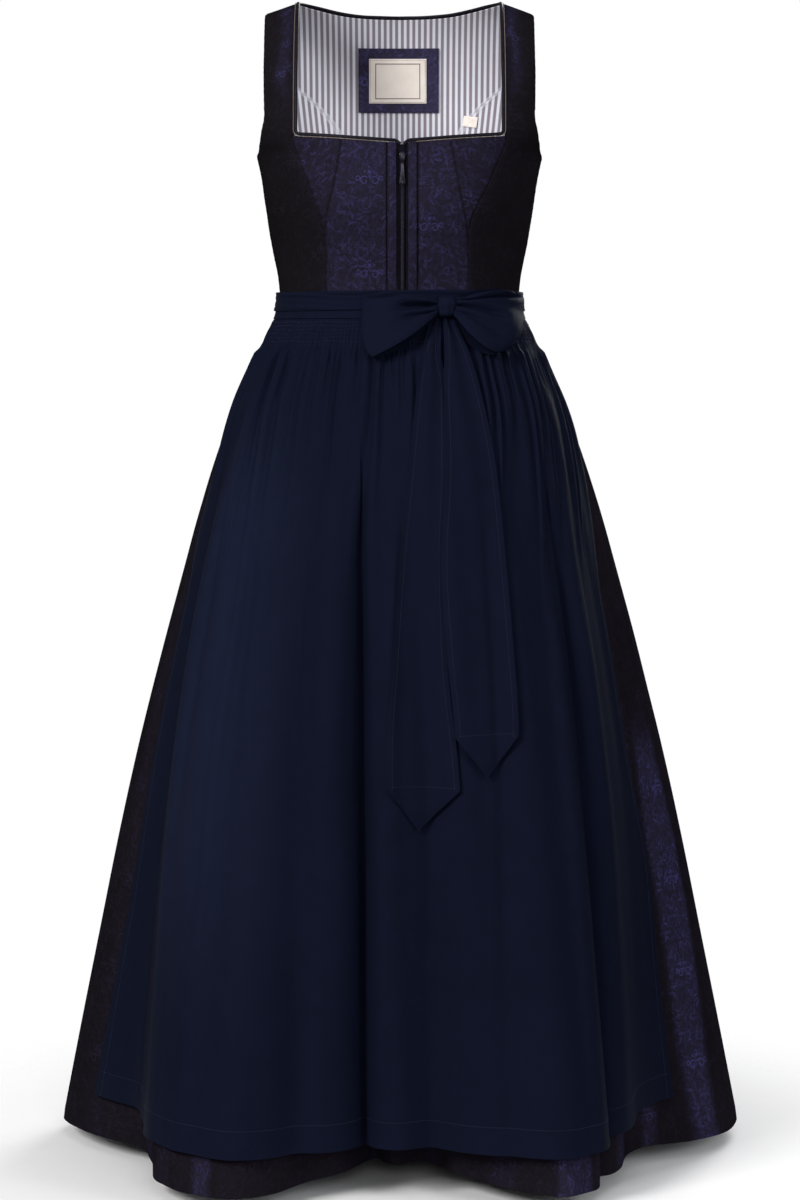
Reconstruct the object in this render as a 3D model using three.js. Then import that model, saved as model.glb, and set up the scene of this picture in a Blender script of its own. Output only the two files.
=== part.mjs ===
// A sleeveless dirndl dress with its gathered apron, filled out as if it were worn, and tied in a bow.
// Millimetres. +Z is up, the front faces -Y, and +X is on the right of somebody who looks at the front.
// The origin lies midway between the tops of the two shoulder straps.
import * as THREE from "three";

// Driving sizes
const SHOULDER_ARCH = 120; // height of the arch that the straps make over the shoulders
const SHOULDER_SLOPE = 0.36; // fall of the shoulder line towards the arm
const NECK_HALF = 115; // from the middle to the centre line of the piping at the shoulder
const NECK_CORNER_HALF = 119; // the same, at the lower corners of the square neckline
const NECK_CORNER_RADIUS = 8;
const STRAP_OUTER = 147.5; // from the middle to the outer edge of a strap
const UNDERARM_Z = -168;
const WAIST_Z = -330; // the seam between bodice and skirt
const GATHER_Z = -346; // lower edge of the apron's waistband
const HEM_Z = -1245;
const WALL = 1.6; // cloth with its lining
const THIN = 1.2; // a single layer of cloth, hemmed
const SEAM = 0.3; // gap between neighbouring pieces
const RIDGE_FALL = 0.002; // keeps the halves of a strap apart at the shoulder seam
const SIDE_GAP = 0.0016; // half the gap of the side seam, as an angle
const PIPING_HALF = 3; // half the width of the piping along the neckline
const PIPING_RISE = 1.7; // half its thickness
const ZIP_X = 3; // the front opening lies a little to the wearer's left
const ZIP_HALF = 3.7;
const ZIP_TOP = -161;
const GATHER_DEPTH = 2.4; // height of a gather below the waistband
const APRON_GATHERS = 30;
const BACK_GATHERS = 30;

// A table with named columns: each row becomes an object
function table(columns, rows) {
  return rows.map((row) => Object.fromEntries(columns.map((name, i) => [name, row[i]])));
}

// Level sections of the filled-out dress: half its width
const WIDTHS = table(
  ["z", "half"],
  [
    [0, 190],
    [-60, 190],
    [-120, 180],
    [-140, 176],
    [-155, 167],
    [-168, 157],
    [-220, 148],
    [-269, 140],
    [-302, 133.5],
    [-322, 131.5],
    [-340, 135],
    [-366, 146],
    [-401, 162],
    [-437, 179],
    [-490, 200],
    [-556, 222],
    [-623, 241],
    [-724, 269],
    [-825, 295],
    [-927, 318],
    [-1029, 339],
    [-1131, 360],
    [-1245, 383],
  ],
);

// Depth of the bodice before and behind the middle. That of the skirt grows in step with its width, from
// the last row here to the hem.
const DEPTHS = table(
  ["z", "front", "back"],
  [
    [0, 72, 82],
    [-60, 90, 92],
    [-120, 103, 98],
    [-168, 112, 97],
    [-220, 112, 92],
    [-269, 103, 84],
    [-302, 95, 79],
    [-322, 92, 77],
  ],
);
const HEM_DEPTH = { front: 330, back: 300 };

// The large folds, all round: where each ridge, flank or hollow lies at the waist and at the hem, in
// degrees from the front middle, and how far the skirt and the apron reach there at the hem, as a share
// of the plain oval. Hollows are under 1.
const FOLDS = table(
  ["waist", "hem", "skirt", "apron"],
  [
    [-176, -176, 0.82, 0.82],
    [-163, -163, 0.93, 0.93],
    [-152, -152, 1.07, 1.07],
    [-142, -142, 1.04, 1.04],
    [-129, -129, 0.91, 0.91],
    [-117, -117, 0.86, 0.86],
    [-105, -105, 0.95, 0.95],
    [-93, -93, 1.0, 1.0],
    [-87, -81, 0.94, 0.94],
    [-79, -63, 0.86, 0.87],
    [-67, -47, 0.92, 0.94],
    [-60, -39, 1.02, 1.04],
    [-47, -28, 1.11, 1.12],
    [-36, -21, 1.02, 1.05],
    [-25, -15, 0.82, 0.92],
    [-14, -6, 0.67, 0.83],
    [2, 4, 0.66, 0.83],
    [16, 12, 0.77, 0.91],
    [28, 19, 0.96, 1.02],
    [40, 26, 1.06, 1.08],
    [52, 34, 0.98, 1.01],
    [62, 43, 0.88, 0.91],
    [73, 58, 0.81, 0.84],
    [81, 70, 0.9, 0.91],
    [88, 81, 0.97, 0.97],
    [93, 93, 1.0, 1.0],
    [106, 106, 0.94, 0.94],
    [118, 118, 0.87, 0.87],
    [131, 131, 0.94, 0.94],
    [143, 143, 1.07, 1.07],
    [153, 153, 1.08, 1.08],
    [164, 164, 0.94, 0.94],
    [176, 176, 0.81, 0.81],
  ],
);

// Side edges of the apron, in degrees from the front middle measured at the waist
const APRON_EDGES = table(
  ["z", "left", "right"],
  [
    [-346, -87, 87],
    [-430, -86, 85.5],
    [-500, -82.5, 80],
    [-600, -81, 74],
    [-650, -80.2, 72.3],
    [-790, -81, 72.5],
    [-970, -82, 76],
    [-1060, -83, 76],
    [-1245, -84.5, 77],
  ],
);

// Seams of the front: the dart seam runs from the neckline to the tip of the inset and on to the waist,
// and the corner seam from the corner of the neckline to the same tip. Distances from the middle.
const FRONT_SEAMS = table(
  ["z", "dartLeft", "cornerLeft", "dartRight", "cornerRight"],
  [
    [-158, 62, 116, 55, 115],
    [-195, 69, 101, 62, 99],
    [-257, 80, 81.5, 73, 74.5],
    [-290, 79, 79, 75, 75],
    [-330, 79, 79, 76, 76],
  ],
);

// The curved seam of the back, from the armhole to the waist: distance from the middle
const BACK_SEAM = table(
  ["z", "x"],
  [
    [-58, 150],
    [-75, 132],
    [-88, 114],
    [-110, 88],
    [-135, 69],
    [-180, 57],
    [-240, 51],
    [-330, 47],
  ],
);

// Ends of the bow: the left and right edge of each tail, down from the knot, as distances from the middle
const LEFT_TAIL = table(
  ["z", "left", "right"],
  [
    [-344, 34, 45],
    [-380, 24, 44],
    [-420, 18, 50],
    [-500, 10, 50],
    [-600, 0, 47],
    [-700, -7, 50],
    [-800, -13, 58],
    [-822, -13, 63],
    [-836, -7, 63],
    [-876, 18, 24],
  ],
);
const RIGHT_TAIL = table(
  ["z", "left", "right"],
  [
    [-344, 46, 58],
    [-380, 48, 74],
    [-420, 47, 86],
    [-500, 49, 102],
    [-600, 44, 112],
    [-700, 50, 120],
    [-768, 57, 124],
    [-782, 58, 125],
    [-820, 90, 96],
  ],
);

const radians = (degrees) => (degrees * Math.PI) / 180;
const mix = (a, b, share) => a + (b - a) * share;
const clamp = (value, low, high) => Math.min(high, Math.max(low, value));
const ease = (share) => share * share * (3 - 2 * share);
const ramp = (from, to, value) => ease(clamp((value - from) / (to - from), 0, 1));

// Evenly spaced values from a to b
const spread = (a, b, steps) => Array.from({ length: steps + 1 }, (_, i) => mix(a, b, i / steps));

// A smooth curve through one column of a table against another, with no overshoot
function curveOf(rows, key, value) {
  const sorted = [...rows].sort((a, b) => a[key] - b[key]);
  const xs = sorted.map((row) => row[key]);
  const ys = sorted.map((row) => row[value]);
  const secants = xs.slice(1).map((x, i) => (ys[i + 1] - ys[i]) / (x - xs[i]));
  const slopes = xs.map((_, i) => {
    if (i === 0) return secants[0];
    if (i === xs.length - 1) return secants[i - 1];
    const [before, after] = [secants[i - 1], secants[i]];
    return before * after <= 0 ? 0 : (2 * before * after) / (before + after);
  });
  return (at) => {
    const x = clamp(at, xs[0], xs[xs.length - 1]);
    const i = clamp(xs.findIndex((edge) => edge > x) - 1, 0, xs.length - 2);
    const k = x >= xs[xs.length - 1] ? xs.length - 2 : i;
    const width = xs[k + 1] - xs[k];
    const s = (x - xs[k]) / width;
    const rise = slopes[k] * width * s * (1 - s) ** 2 - slopes[k + 1] * width * s * s * (1 - s);
    return mix(ys[k], ys[k + 1], ease(s)) + rise;
  };
}

// The same for angles, so that the curve closes on itself round the skirt
function roundCurveOf(rows, key, value, turn = 0) {
  const shifted = (times) =>
    rows.map((row) => ({ [key]: row[key] + 360 * times, [value]: row[value] + turn * times }));
  return curveOf([...shifted(-1), ...shifted(0), ...shifted(1)], key, value);
}

const halfWidth = curveOf(WIDTHS, "z", "half");
const bodiceDepth = { front: curveOf(DEPTHS, "z", "front"), back: curveOf(DEPTHS, "z", "back") };
const hemAngle = roundCurveOf(FOLDS, "waist", "hem", 360);
const skirtReach = roundCurveOf(FOLDS, "waist", "skirt");
const apronReach = roundCurveOf(FOLDS, "waist", "apron");
const apronLeft = curveOf(APRON_EDGES, "z", "left");
const apronRight = curveOf(APRON_EDGES, "z", "right");
const backSeam = curveOf(BACK_SEAM, "z", "x");

const SKIRT_TOP = DEPTHS.at(-1);
function depthAt(z, half) {
  if (z >= SKIRT_TOP.z) return bodiceDepth[half](z);
  const narrow = halfWidth(SKIRT_TOP.z);
  const flare = (halfWidth(z) - narrow) / (halfWidth(HEM_Z) - narrow);
  return mix(SKIRT_TOP[half], HEM_DEPTH[half], flare);
}

// Two rounded lobes stand out of the front at the bust
const BUST = { x: 72, z: -212, rise: 15, halfWide: 46, halfHigh: 52 };
function bustRise(x, z) {
  const across = (Math.abs(x) - BUST.x) / BUST.halfWide;
  const down = (z - BUST.z) / BUST.halfHigh;
  return BUST.rise * Math.exp(-across * across - down * down);
}

// A place on the bodice is an angle round it, 0 at the front middle and a quarter turn at +X, and a fall:
// 0 on the shoulder ridge, 1 at the foot of the shoulder arch, and growing evenly with depth below that.
const FALL_STEP = (SHOULDER_ARCH * Math.PI) / 2;
const fallOf = (z) => 1 + (-SHOULDER_ARCH - z) / FALL_STEP;

function levelOf(fall) {
  if (fall >= 1) return -SHOULDER_ARCH - (fall - 1) * FALL_STEP;
  return -SHOULDER_ARCH * (1 - Math.cos((fall * Math.PI) / 2));
}

function bodicePoint(angle, fall) {
  const level = levelOf(fall);
  const x = halfWidth(level) * Math.sin(angle);
  const arch = Math.min(fall, 1) * (Math.PI / 2);
  const ridge = SHOULDER_SLOPE * (NECK_HALF - Math.abs(x));
  const z = level + ridge * Math.cos(arch);
  const depth = depthAt(level, Math.cos(angle) > 0 ? "front" : "back");
  const lobe = Math.cos(angle) > 0 ? bustRise(x, z) * Math.cos(angle) : 0;
  return new THREE.Vector3(x, -(depth * Math.cos(angle) + lobe) * Math.sin(arch), z);
}

// The fall of a place on the bodice from its distance to the middle and its height, and its angle
function fallAt(x, z) {
  if (z <= -SHOULDER_ARCH) return fallOf(z);
  const reach = SHOULDER_ARCH + SHOULDER_SLOPE * (NECK_HALF - Math.abs(x));
  return Math.acos(clamp((z + SHOULDER_ARCH) / reach, -1, 1)) / (Math.PI / 2);
}
const angleAt = (x, fall) => Math.asin(clamp(x / halfWidth(levelOf(fall)), -1, 1));

// The armhole: the outer edge of the strap, which curves out to the side seam under the arm
function armholeAngle(fall) {
  const level = levelOf(fall);
  const strap = angleAt(STRAP_OUTER, Math.min(fall, 1));
  const share = clamp((-SHOULDER_ARCH - level) / (-SHOULDER_ARCH - UNDERARM_Z), 0, 1);
  return mix(strap, Math.PI / 2, 1 - Math.sqrt(1 - share * share));
}

// The same edge, kept clear of the other panel along the side seam
const SEAM_TOP = UNDERARM_Z + 8;
const sideEdge = (fall) => armholeAngle(fall) - (levelOf(fall) < SEAM_TOP ? SIDE_GAP : 0);

// Centre lines of the piping: along the foot of the neckline, up the straps and round the back
const frontNeckZ = (x) => -162 + 7 * Math.min(1, Math.abs(x) / NECK_CORNER_HALF);
const strapNeckX = (fall) => mix(NECK_HALF, NECK_CORNER_HALF, Math.min(1, fall));
const backNeckZ = (x) => -10 + 10 * Math.min(1, Math.abs(x) / NECK_HALF) ** 3;
const NECK_EDGE = PIPING_HALF + SEAM; // from that centre line to the edge of the cloth

// A place on the skirt is an angle round the waist, in degrees, and a height. The folds run down from
// their angles at the waist to their angles at the hem, and grow on the way.
const FOLD_START = -385;
const downShare = (z) => clamp((GATHER_Z - z) / (GATHER_Z - HEM_Z), 0, 1);
function skirtPoint(waistAngle, z, reach = skirtReach) {
  const angle = radians(mix(waistAngle, hemAngle(waistAngle), downShare(z) ** 0.7));
  const grown = clamp((FOLD_START - z) / (FOLD_START - HEM_Z), 0, 1) ** 1.25;
  const share = mix(1, reach(waistAngle), grown);
  const depth = depthAt(z, Math.cos(angle) > 0 ? "front" : "back");
  return new THREE.Vector3(halfWidth(z) * share * Math.sin(angle), -depth * share * Math.cos(angle), z);
}

// The hem lifts where a hollow fold draws it in
const skirtHemZ = (waistAngle) => HEM_Z + 28 * Math.max(0, 0.98 - skirtReach(waistAngle));
const apronHemZ = (waistAngle) =>
  HEM_Z + 39 + 17 * ramp(40, 80, waistAngle) + 8 * ramp(-40, -80, waistAngle);

// The way out of a surface at one of its places
const CORE_Z = -200;
function outwardAt(surface, p, q) {
  const step = 1e-3;
  const across = surface(p + step, q).sub(surface(p - step, q));
  const along = surface(p, q + step).sub(surface(p, q - step));
  const here = surface(p, q);
  const out = across.cross(along).normalize();
  const core = new THREE.Vector3(0, 0, Math.min(here.z, CORE_Z));
  return out.dot(here.sub(core)) < 0 ? out.negate() : out;
}

const offsetPoint = (surface, p, q, distance) =>
  surface(p, q).addScaledVector(outwardAt(surface, p, q), distance);

// A mesh from points and triangles, turned so that its faces look outwards
function outwardMesh(points, triangles) {
  const signed = ([a, b, c]) => points[a].dot(points[b].clone().cross(points[c]));
  const volume = triangles.reduce((sum, triangle) => sum + signed(triangle), 0);
  const turned = volume < 0 ? triangles.map(([a, b, c]) => [a, c, b]) : triangles;
  const geometry = new THREE.BufferGeometry().setFromPoints(points);
  geometry.setIndex(turned.flat());
  geometry.computeVertexNormals();
  return geometry;
}

// A closed mesh from two faces of rows of points, each with as many columns. With `ring` the columns
// close on themselves.
function closedWall(outer, inner, ring = false) {
  const rows = outer.length;
  const columns = outer[0].length;
  const points = [...outer.flat(), ...inner.flat()];
  const at = (face, j, i) => face * rows * columns + j * columns + (i % columns);
  const faces = [];
  const quad = (a, b, c, d) => faces.push([a, b, c], [a, c, d]);
  const lastColumn = ring ? columns : columns - 1;
  for (let j = 0; j + 1 < rows; j++) {
    for (let i = 0; i < lastColumn; i++) {
      quad(at(0, j, i), at(0, j + 1, i), at(0, j + 1, i + 1), at(0, j, i + 1));
      quad(at(1, j, i), at(1, j, i + 1), at(1, j + 1, i + 1), at(1, j + 1, i));
    }
    if (ring) continue;
    quad(at(0, j, 0), at(1, j, 0), at(1, j + 1, 0), at(0, j + 1, 0));
    const end = columns - 1;
    quad(at(0, j + 1, end), at(1, j + 1, end), at(1, j, end), at(0, j, end));
  }
  for (let i = 0; i < lastColumn; i++) {
    quad(at(0, 0, i), at(0, 0, i + 1), at(1, 0, i + 1), at(1, 0, i));
    quad(at(0, rows - 1, i + 1), at(0, rows - 1, i), at(1, rows - 1, i), at(1, rows - 1, i + 1));
  }
  return outwardMesh(points, faces);
}

// A closed body through a row of rings with as many points, capped at both ends
function closedTube(rings) {
  const sides = rings[0].length;
  const faces = [];
  for (let r = 0; r + 1 < rings.length; r++) {
    for (let i = 0; i < sides; i++) {
      const [a, b] = [r * sides + i, r * sides + ((i + 1) % sides)];
      faces.push([a, b, b + sides], [a, b + sides, a + sides]);
    }
  }
  const last = (rings.length - 1) * sides;
  for (let i = 1; i + 1 < sides; i++) faces.push([0, i + 1, i], [last, last + i, last + i + 1]);
  return outwardMesh(rings.flat(), faces);
}

// A cloth wall on a surface. `place(s, t)` gives the surface's two coordinates for a column s and a row
// t, and `outer(s, t)` and `inner(s, t)` how far the wall's faces lie out from the surface.
function clothWall({ surface, columns, rows, place, outer, inner, ring = false }) {
  const face = (offset) =>
    rows.map((t) =>
      columns.map((s) => {
        const [p, q] = place(s, t);
        return offsetPoint(surface, p, q, offset(s, t));
      }),
    );
  return closedWall(face(outer), face(inner), ring);
}

const dress = new THREE.Group();
function add(name, geometry, look, placed = (mesh) => mesh) {
  const mesh = new THREE.Mesh(geometry, new THREE.MeshStandardMaterial(look));
  mesh.name = name;
  dress.add(placed(mesh));
}

const BROCADE = { color: 0x211f2c, roughness: 0.5, metalness: 0 };
const APRON_CLOTH = { color: 0x111828, roughness: 0.8, metalness: 0 };
const LINING_CLOTH = { color: 0x939197, roughness: 0.9, metalness: 0 };
const PIPING_SATIN = { color: 0x15141d, roughness: 0.4, metalness: 0 };
const LABEL_CLOTH = { color: 0xbdb3ad, roughness: 0.8, metalness: 0 };
const DARK_TAPE = { color: 0x14131a, roughness: 0.7, metalness: 0 };
const DARK_METAL = { color: 0x4a4650, roughness: 0.35, metalness: 1 };

// Heights that neighbouring panels of the front share below their top edges, so that their seams match
const FRONT_LEVELS = [-180, -197, -215, -236, -257, -274, -294, -317, WAIST_Z + SEAM / 2];
const TOP_ROW = "top";

// A tuck is stitched down on each side of the zip, and runs flat into the waist. Distances from the zip.
const TUCK = { from: 6, to: 15.5, edge: 1.2, rise: 1.6, flatZ: -312, fullZ: -280 };
function tuckRise(fromZip, row) {
  const risen = ramp(TUCK.from, TUCK.from + TUCK.edge, fromZip);
  const fallen = ramp(TUCK.to, TUCK.to - TUCK.edge, fromZip);
  const kept = row === TOP_ROW ? 1 : ramp(TUCK.flatZ, TUCK.fullZ, row);
  return TUCK.rise * Math.min(risen, fallen) * kept;
}

// Front of the bodice, on each side: -1 is the left of the picture

function frontPanels(side) {
  const word = side < 0 ? "Left" : "Right";
  const label = word.toLowerCase();
  const dart = curveOf(FRONT_SEAMS, "z", "dart" + word);
  const corner = curveOf(FRONT_SEAMS, "z", "corner" + word);
  const zipEdge = side * ZIP_X + ZIP_HALF + SEAM;
  const tuckShares = [0, TUCK.from, TUCK.from + TUCK.edge, TUCK.to - TUCK.edge, TUCK.to];

  // Columns of the centre panel are distances from the zip near it, and shares of the rest beyond
  const wide = 60; // width of the centre panel where the tucks are
  const tuckColumns = tuckShares.map((from) => Math.max(0, from - ZIP_HALF - SEAM) / wide);
  const centreX = (s, z) => mix(zipEdge, dart(z) - SEAM / 2, s);
  add(
    "front_centre_" + label,
    clothWall({
      surface: bodicePoint,
      columns: [...tuckColumns, 0.45, 0.72, 1],
      rows: [TOP_ROW, ...FRONT_LEVELS],
      place: (s, row) => {
        const top = frontNeckZ(centreX(s, ZIP_TOP)) - NECK_EDGE;
        const z = row === TOP_ROW ? top : row;
        return [side * angleAt(centreX(s, z), fallOf(z)), fallOf(z)];
      },
      outer: (s, row) => tuckRise(ZIP_HALF + SEAM + s * wide, row),
      inner: () => -WALL,
    }),
    BROCADE,
  );

  const tip = FRONT_SEAMS[2].z; // the inset ends here
  add(
    "front_inset_" + label,
    clothWall({
      surface: bodicePoint,
      columns: spread(0, 1, 3),
      rows: [TOP_ROW, ...FRONT_LEVELS.filter((level) => level >= tip)],
      place: (s, row) => {
        const top = frontNeckZ(mix(dart(ZIP_TOP), corner(ZIP_TOP), s)) - NECK_EDGE;
        const z = row === TOP_ROW ? top : row;
        const x = mix(dart(z) + SEAM / 2, corner(z) - SEAM / 2, s);
        return [side * angleAt(x, fallOf(z)), fallOf(z)];
      },
      outer: () => 0,
      inner: () => -WALL,
    }),
    BROCADE,
  );

  // The side panel runs up into the strap, so its rows follow the neckline first and the seam below it
  const neckFoot = frontNeckZ(NECK_CORNER_HALF) - NECK_EDGE;
  const innerX = (fall) => {
    const z = levelOf(fall);
    if (fall < 1 || z > neckFoot) return strapNeckX(fall) + NECK_EDGE;
    return corner(z) + SEAM / 2;
  };
  const levels = [-120, -138, neckFoot + 0.2, neckFoot - 0.2, -164, UNDERARM_Z, ...FRONT_LEVELS];
  const strapFalls = [RIDGE_FALL, 0.17, 0.34, 0.52, 0.7, 0.86];
  add(
    "front_side_" + label,
    clothWall({
      surface: bodicePoint,
      columns: spread(0, 1, 5),
      rows: [...strapFalls, ...levels.map(fallOf)],
      place: (s, fall) => [side * mix(angleAt(innerX(fall), fall), sideEdge(fall), s), fall],
      outer: () => 0,
      inner: () => -WALL,
    }),
    BROCADE,
  );
}
frontPanels(-1);
frontPanels(1);

// Back of the bodice. The centre panel reaches up into both straps; its columns are shares of the angle
// from the middle to its outer edge, and those beyond STRAP_SHARE end on the shoulder ridge.
const backEdgeAngle = (seamGap) => (fall) => {
  const armhole = armholeAngle(fall);
  const level = levelOf(fall);
  if (level > BACK_SEAM[0].z) return armhole;
  return Math.min(armhole, angleAt(backSeam(level) - seamGap, fall));
};
const ridgeAngle = angleAt(STRAP_OUTER, 0);
const STRAP_SHARE = angleAt(NECK_HALF + NECK_EDGE, 0) / ridgeAngle;
function backTopFall(share) {
  if (Math.abs(share) >= STRAP_SHARE) return RIDGE_FALL;
  const x = (Math.abs(share) / STRAP_SHARE) * NECK_HALF;
  return Math.max(RIDGE_FALL, fallAt(x, backNeckZ(x) - NECK_EDGE));
}
const halfShares = [0, 0.17, 0.33, 0.47, 0.6, 0.68, STRAP_SHARE, 0.87, 1];
const backShares = [...halfShares.slice(1).reverse().map((share) => -share), ...halfShares];

// Rows of the back panels as falls along their outer edge; further in they start at the neckline
const FOOT_FALL = fallOf(WAIST_Z + SEAM / 2);
const BACK_LEVELS = [-134, -148, -158, -165, UNDERARM_Z, -192, -220, -250, -274, -294, -317];
const ARCH_FALLS = [RIDGE_FALL, 0.1, 0.2, 0.31, 0.42, 0.53, 0.65, 0.77, 0.89, 1.01];
const ARCH_FOOT = ARCH_FALLS.at(-1);
const BACK_FALLS = [...ARCH_FALLS, ...BACK_LEVELS.map(fallOf), FOOT_FALL];
function backWall(edgeAngle, falls, outer, inner) {
  return clothWall({
    surface: bodicePoint,
    columns: backShares,
    rows: falls,
    place: (share, edgeFall) => {
      const nearRidge = Math.max(0, 1 - edgeFall / ARCH_FOOT);
      const fall = edgeFall + (backTopFall(share) - RIDGE_FALL) * nearRidge;
      return [Math.PI - share * edgeAngle(fall), fall];
    },
    outer: () => outer,
    inner: () => inner,
  });
}
add("back_centre", backWall(backEdgeAngle(SEAM / 2), BACK_FALLS, 0, -WALL), BROCADE);

// The lining of the back, down to where it can be seen over the neckline
const LINING_FOOT = -220;
const LINING_INSET = 0.04; // how far it stays back from the armhole and side seam, as an angle
const LINING_OFF = 3.1; // depth of the lining under the outer face of the bodice
const liningEdge = (fall) => armholeAngle(fall) - LINING_INSET * ramp(0.5, 0.95, fall);
const LINING_FALLS = BACK_FALLS.filter((fall) => fall <= fallOf(LINING_FOOT));
add("lining_back", backWall(liningEdge, LINING_FALLS, -LINING_OFF, -LINING_OFF - THIN), LINING_CLOTH);

const SEAM_START = BACK_SEAM[0].z - 4; // the side panels of the back begin a little down the armhole
function backSide(side) {
  add(
    "back_side_" + (side < 0 ? "left" : "right"),
    clothWall({
      surface: bodicePoint,
      columns: spread(0, 1, 8),
      rows: BACK_FALLS.filter((fall) => levelOf(fall) < SEAM_START),
      place: (s, fall) => {
        const seam = angleAt(backSeam(levelOf(fall)) + SEAM / 2, fall);
        return [Math.PI - side * mix(seam, sideEdge(fall), s), fall];
      },
      outer: () => 0,
      inner: () => -WALL,
    }),
    BROCADE,
  );
}
backSide(-1);
backSide(1);

// Piping along the whole neckline, from one side of the zip round the back to the other. Its route is a
// list of places on the bodice, first for one half of the neckline and then mirrored.
const NOTCH_HALF = 1.2; // half the gap between its ends, at the zip
const STRAP_PIPING_FALLS = [1, 0.82, 0.64, 0.46, 0.3, 0.15, 0];
const BACK_PIPING_XS = [112, 105, 95, 81, 62, 42, 21];
const placeAt = (x, z) => [angleAt(x, fallAt(x, z)), fallAt(x, z)];
function neckRoute() {
  const start = frontNeckZ(0);
  const bendX = NECK_CORNER_HALF - NECK_CORNER_RADIUS;
  const bendZ = frontNeckZ(bendX) + NECK_CORNER_RADIUS;
  const foot = spread(0, bendX, 6).slice(1).map((x) => placeAt(x, frontNeckZ(x)));
  const corner = [30, 60, 90].map(radians).map((turn) => {
    const x = bendX + NECK_CORNER_RADIUS * Math.sin(turn);
    return placeAt(x, bendZ - NECK_CORNER_RADIUS * Math.cos(turn));
  });
  const strap = STRAP_PIPING_FALLS.map((fall) => [angleAt(strapNeckX(fall), fall), fall]);
  const back = BACK_PIPING_XS.map((x) => placeAt(x, backNeckZ(x))).map(([a, fall]) => [Math.PI - a, fall]);
  const half = [...foot, ...corner, ...strap, ...back];
  const mirrored = half.map(([angle, fall]) => [2 * Math.PI - angle, fall]).reverse();
  const [leftEnd, endFall] = placeAt(ZIP_X - NOTCH_HALF, start);
  return [
    placeAt(ZIP_X + NOTCH_HALF, start),
    ...half,
    [Math.PI, fallAt(0, backNeckZ(0))],
    ...mirrored,
    [leftEnd + 2 * Math.PI, endFall],
  ];
}

function pipingWall() {
  const route = neckRoute();
  const centres = route.map(([angle, fall]) => bodicePoint(angle, fall));
  const section = [90, 162, 234, 306, 18].map(radians);
  const rings = centres.map((centre, i) => {
    const [angle, fall] = route[i];
    const out = outwardAt(bodicePoint, angle, fall);
    const ahead = centres[Math.min(i + 1, centres.length - 1)].clone();
    const along = ahead.sub(centres[Math.max(i - 1, 0)]).normalize();
    const side = along.clone().cross(out).normalize();
    return section.map((turn) =>
      centre
        .clone()
        .addScaledVector(side, PIPING_HALF * Math.cos(turn))
        .addScaledVector(out, PIPING_RISE * Math.sin(turn)),
    );
  });
  return closedTube(rings);
}

add("neck_piping", pipingWall(), PIPING_SATIN);

// Zip: a strip with its coil raised along the middle, a slider and a drop-shaped pull
const COIL = { half: 1.6, side: 0.6, rise: 0.7, sunk: 0.7 };
add(
  "zip_strip",
  clothWall({
    surface: bodicePoint,
    columns: [ZIP_HALF, COIL.half, COIL.half - COIL.side].flatMap((x) => [-x, x]).sort((a, b) => a - b),
    rows: spread(ZIP_TOP - 6, WAIST_Z + SEAM / 2, 9).map(fallOf),
    place: (x, fall) => [angleAt(ZIP_X + x, fall), fall],
    outer: (x) => (Math.abs(x) < COIL.half ? COIL.rise : 0) - COIL.sunk,
    inner: () => -WALL,
  }),
  DARK_TAPE,
);

// Sets a mesh on the bodice at a height on the zip: its own Z axis points out of the cloth
function onZip(z, lift) {
  return (mesh) => {
    const fall = fallOf(z);
    const angle = angleAt(ZIP_X, fall);
    const out = outwardAt(bodicePoint, angle, fall);
    out.setX(0).normalize();
    const across = new THREE.Vector3(1, 0, 0);
    const up = out.clone().cross(across);
    mesh.setRotationFromMatrix(new THREE.Matrix4().makeBasis(across, up, out));
    mesh.position.copy(bodicePoint(angle, fall)).addScaledVector(out, lift);
    return mesh;
  };
}

const SLIDER = { z: -174, lift: 0.3, halfWide: 3.2, halfFoot: 1.9, halfHigh: 5, shoulder: 2, thick: 2.6 };
const TONGUE = { half: 1, long: 0.7 };
function sliderGeometry() {
  const { halfWide, halfFoot, halfHigh, shoulder, thick } = SLIDER;
  const { half: tongueHalf, long: tongue } = TONGUE;
  const outline = new THREE.Shape();
  outline.moveTo(-halfFoot, -halfHigh);
  outline.lineTo(-tongueHalf, -halfHigh);
  outline.lineTo(-tongueHalf, -halfHigh - tongue);
  outline.lineTo(tongueHalf, -halfHigh - tongue);
  outline.lineTo(tongueHalf, -halfHigh);
  outline.lineTo(halfFoot, -halfHigh);
  outline.lineTo(halfWide, shoulder);
  outline.quadraticCurveTo(halfWide, halfHigh, 0, halfHigh);
  outline.quadraticCurveTo(-halfWide, halfHigh, -halfWide, shoulder);
  return new THREE.ExtrudeGeometry(outline, { depth: thick, bevelEnabled: false, curveSegments: 4 });
}
add("zip_slider", sliderGeometry(), DARK_METAL, onZip(SLIDER.z, SLIDER.lift));

// The pull hangs from the tongue of the slider and swings out and up about the origin of its own shape
const PULL = { z: -181, lift: 2.7, length: 24, halfWide: 3.1, neck: 1.3, top: 0.8, thick: 1.3, eye: 1.4 };
function pullGeometry() {
  const { length, halfWide, neck, top, thick } = PULL;
  const foot = -length + halfWide;
  const outline = new THREE.Shape();
  outline.moveTo(-neck, top);
  outline.lineTo(-halfWide, foot);
  outline.absarc(0, foot, halfWide, Math.PI, 2 * Math.PI, false);
  outline.lineTo(neck, top);
  const eye = new THREE.Path();
  eye.absarc(0, foot, PULL.eye, 0, 2 * Math.PI, true);
  outline.holes.push(eye);
  const plate = new THREE.ExtrudeGeometry(outline, { depth: thick, bevelEnabled: false, curveSegments: 5 });
  return plate.translate(0, 0, -thick / 2);
}
add("zip_pull", pullGeometry(), DARK_METAL, onZip(PULL.z, PULL.lift));

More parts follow.
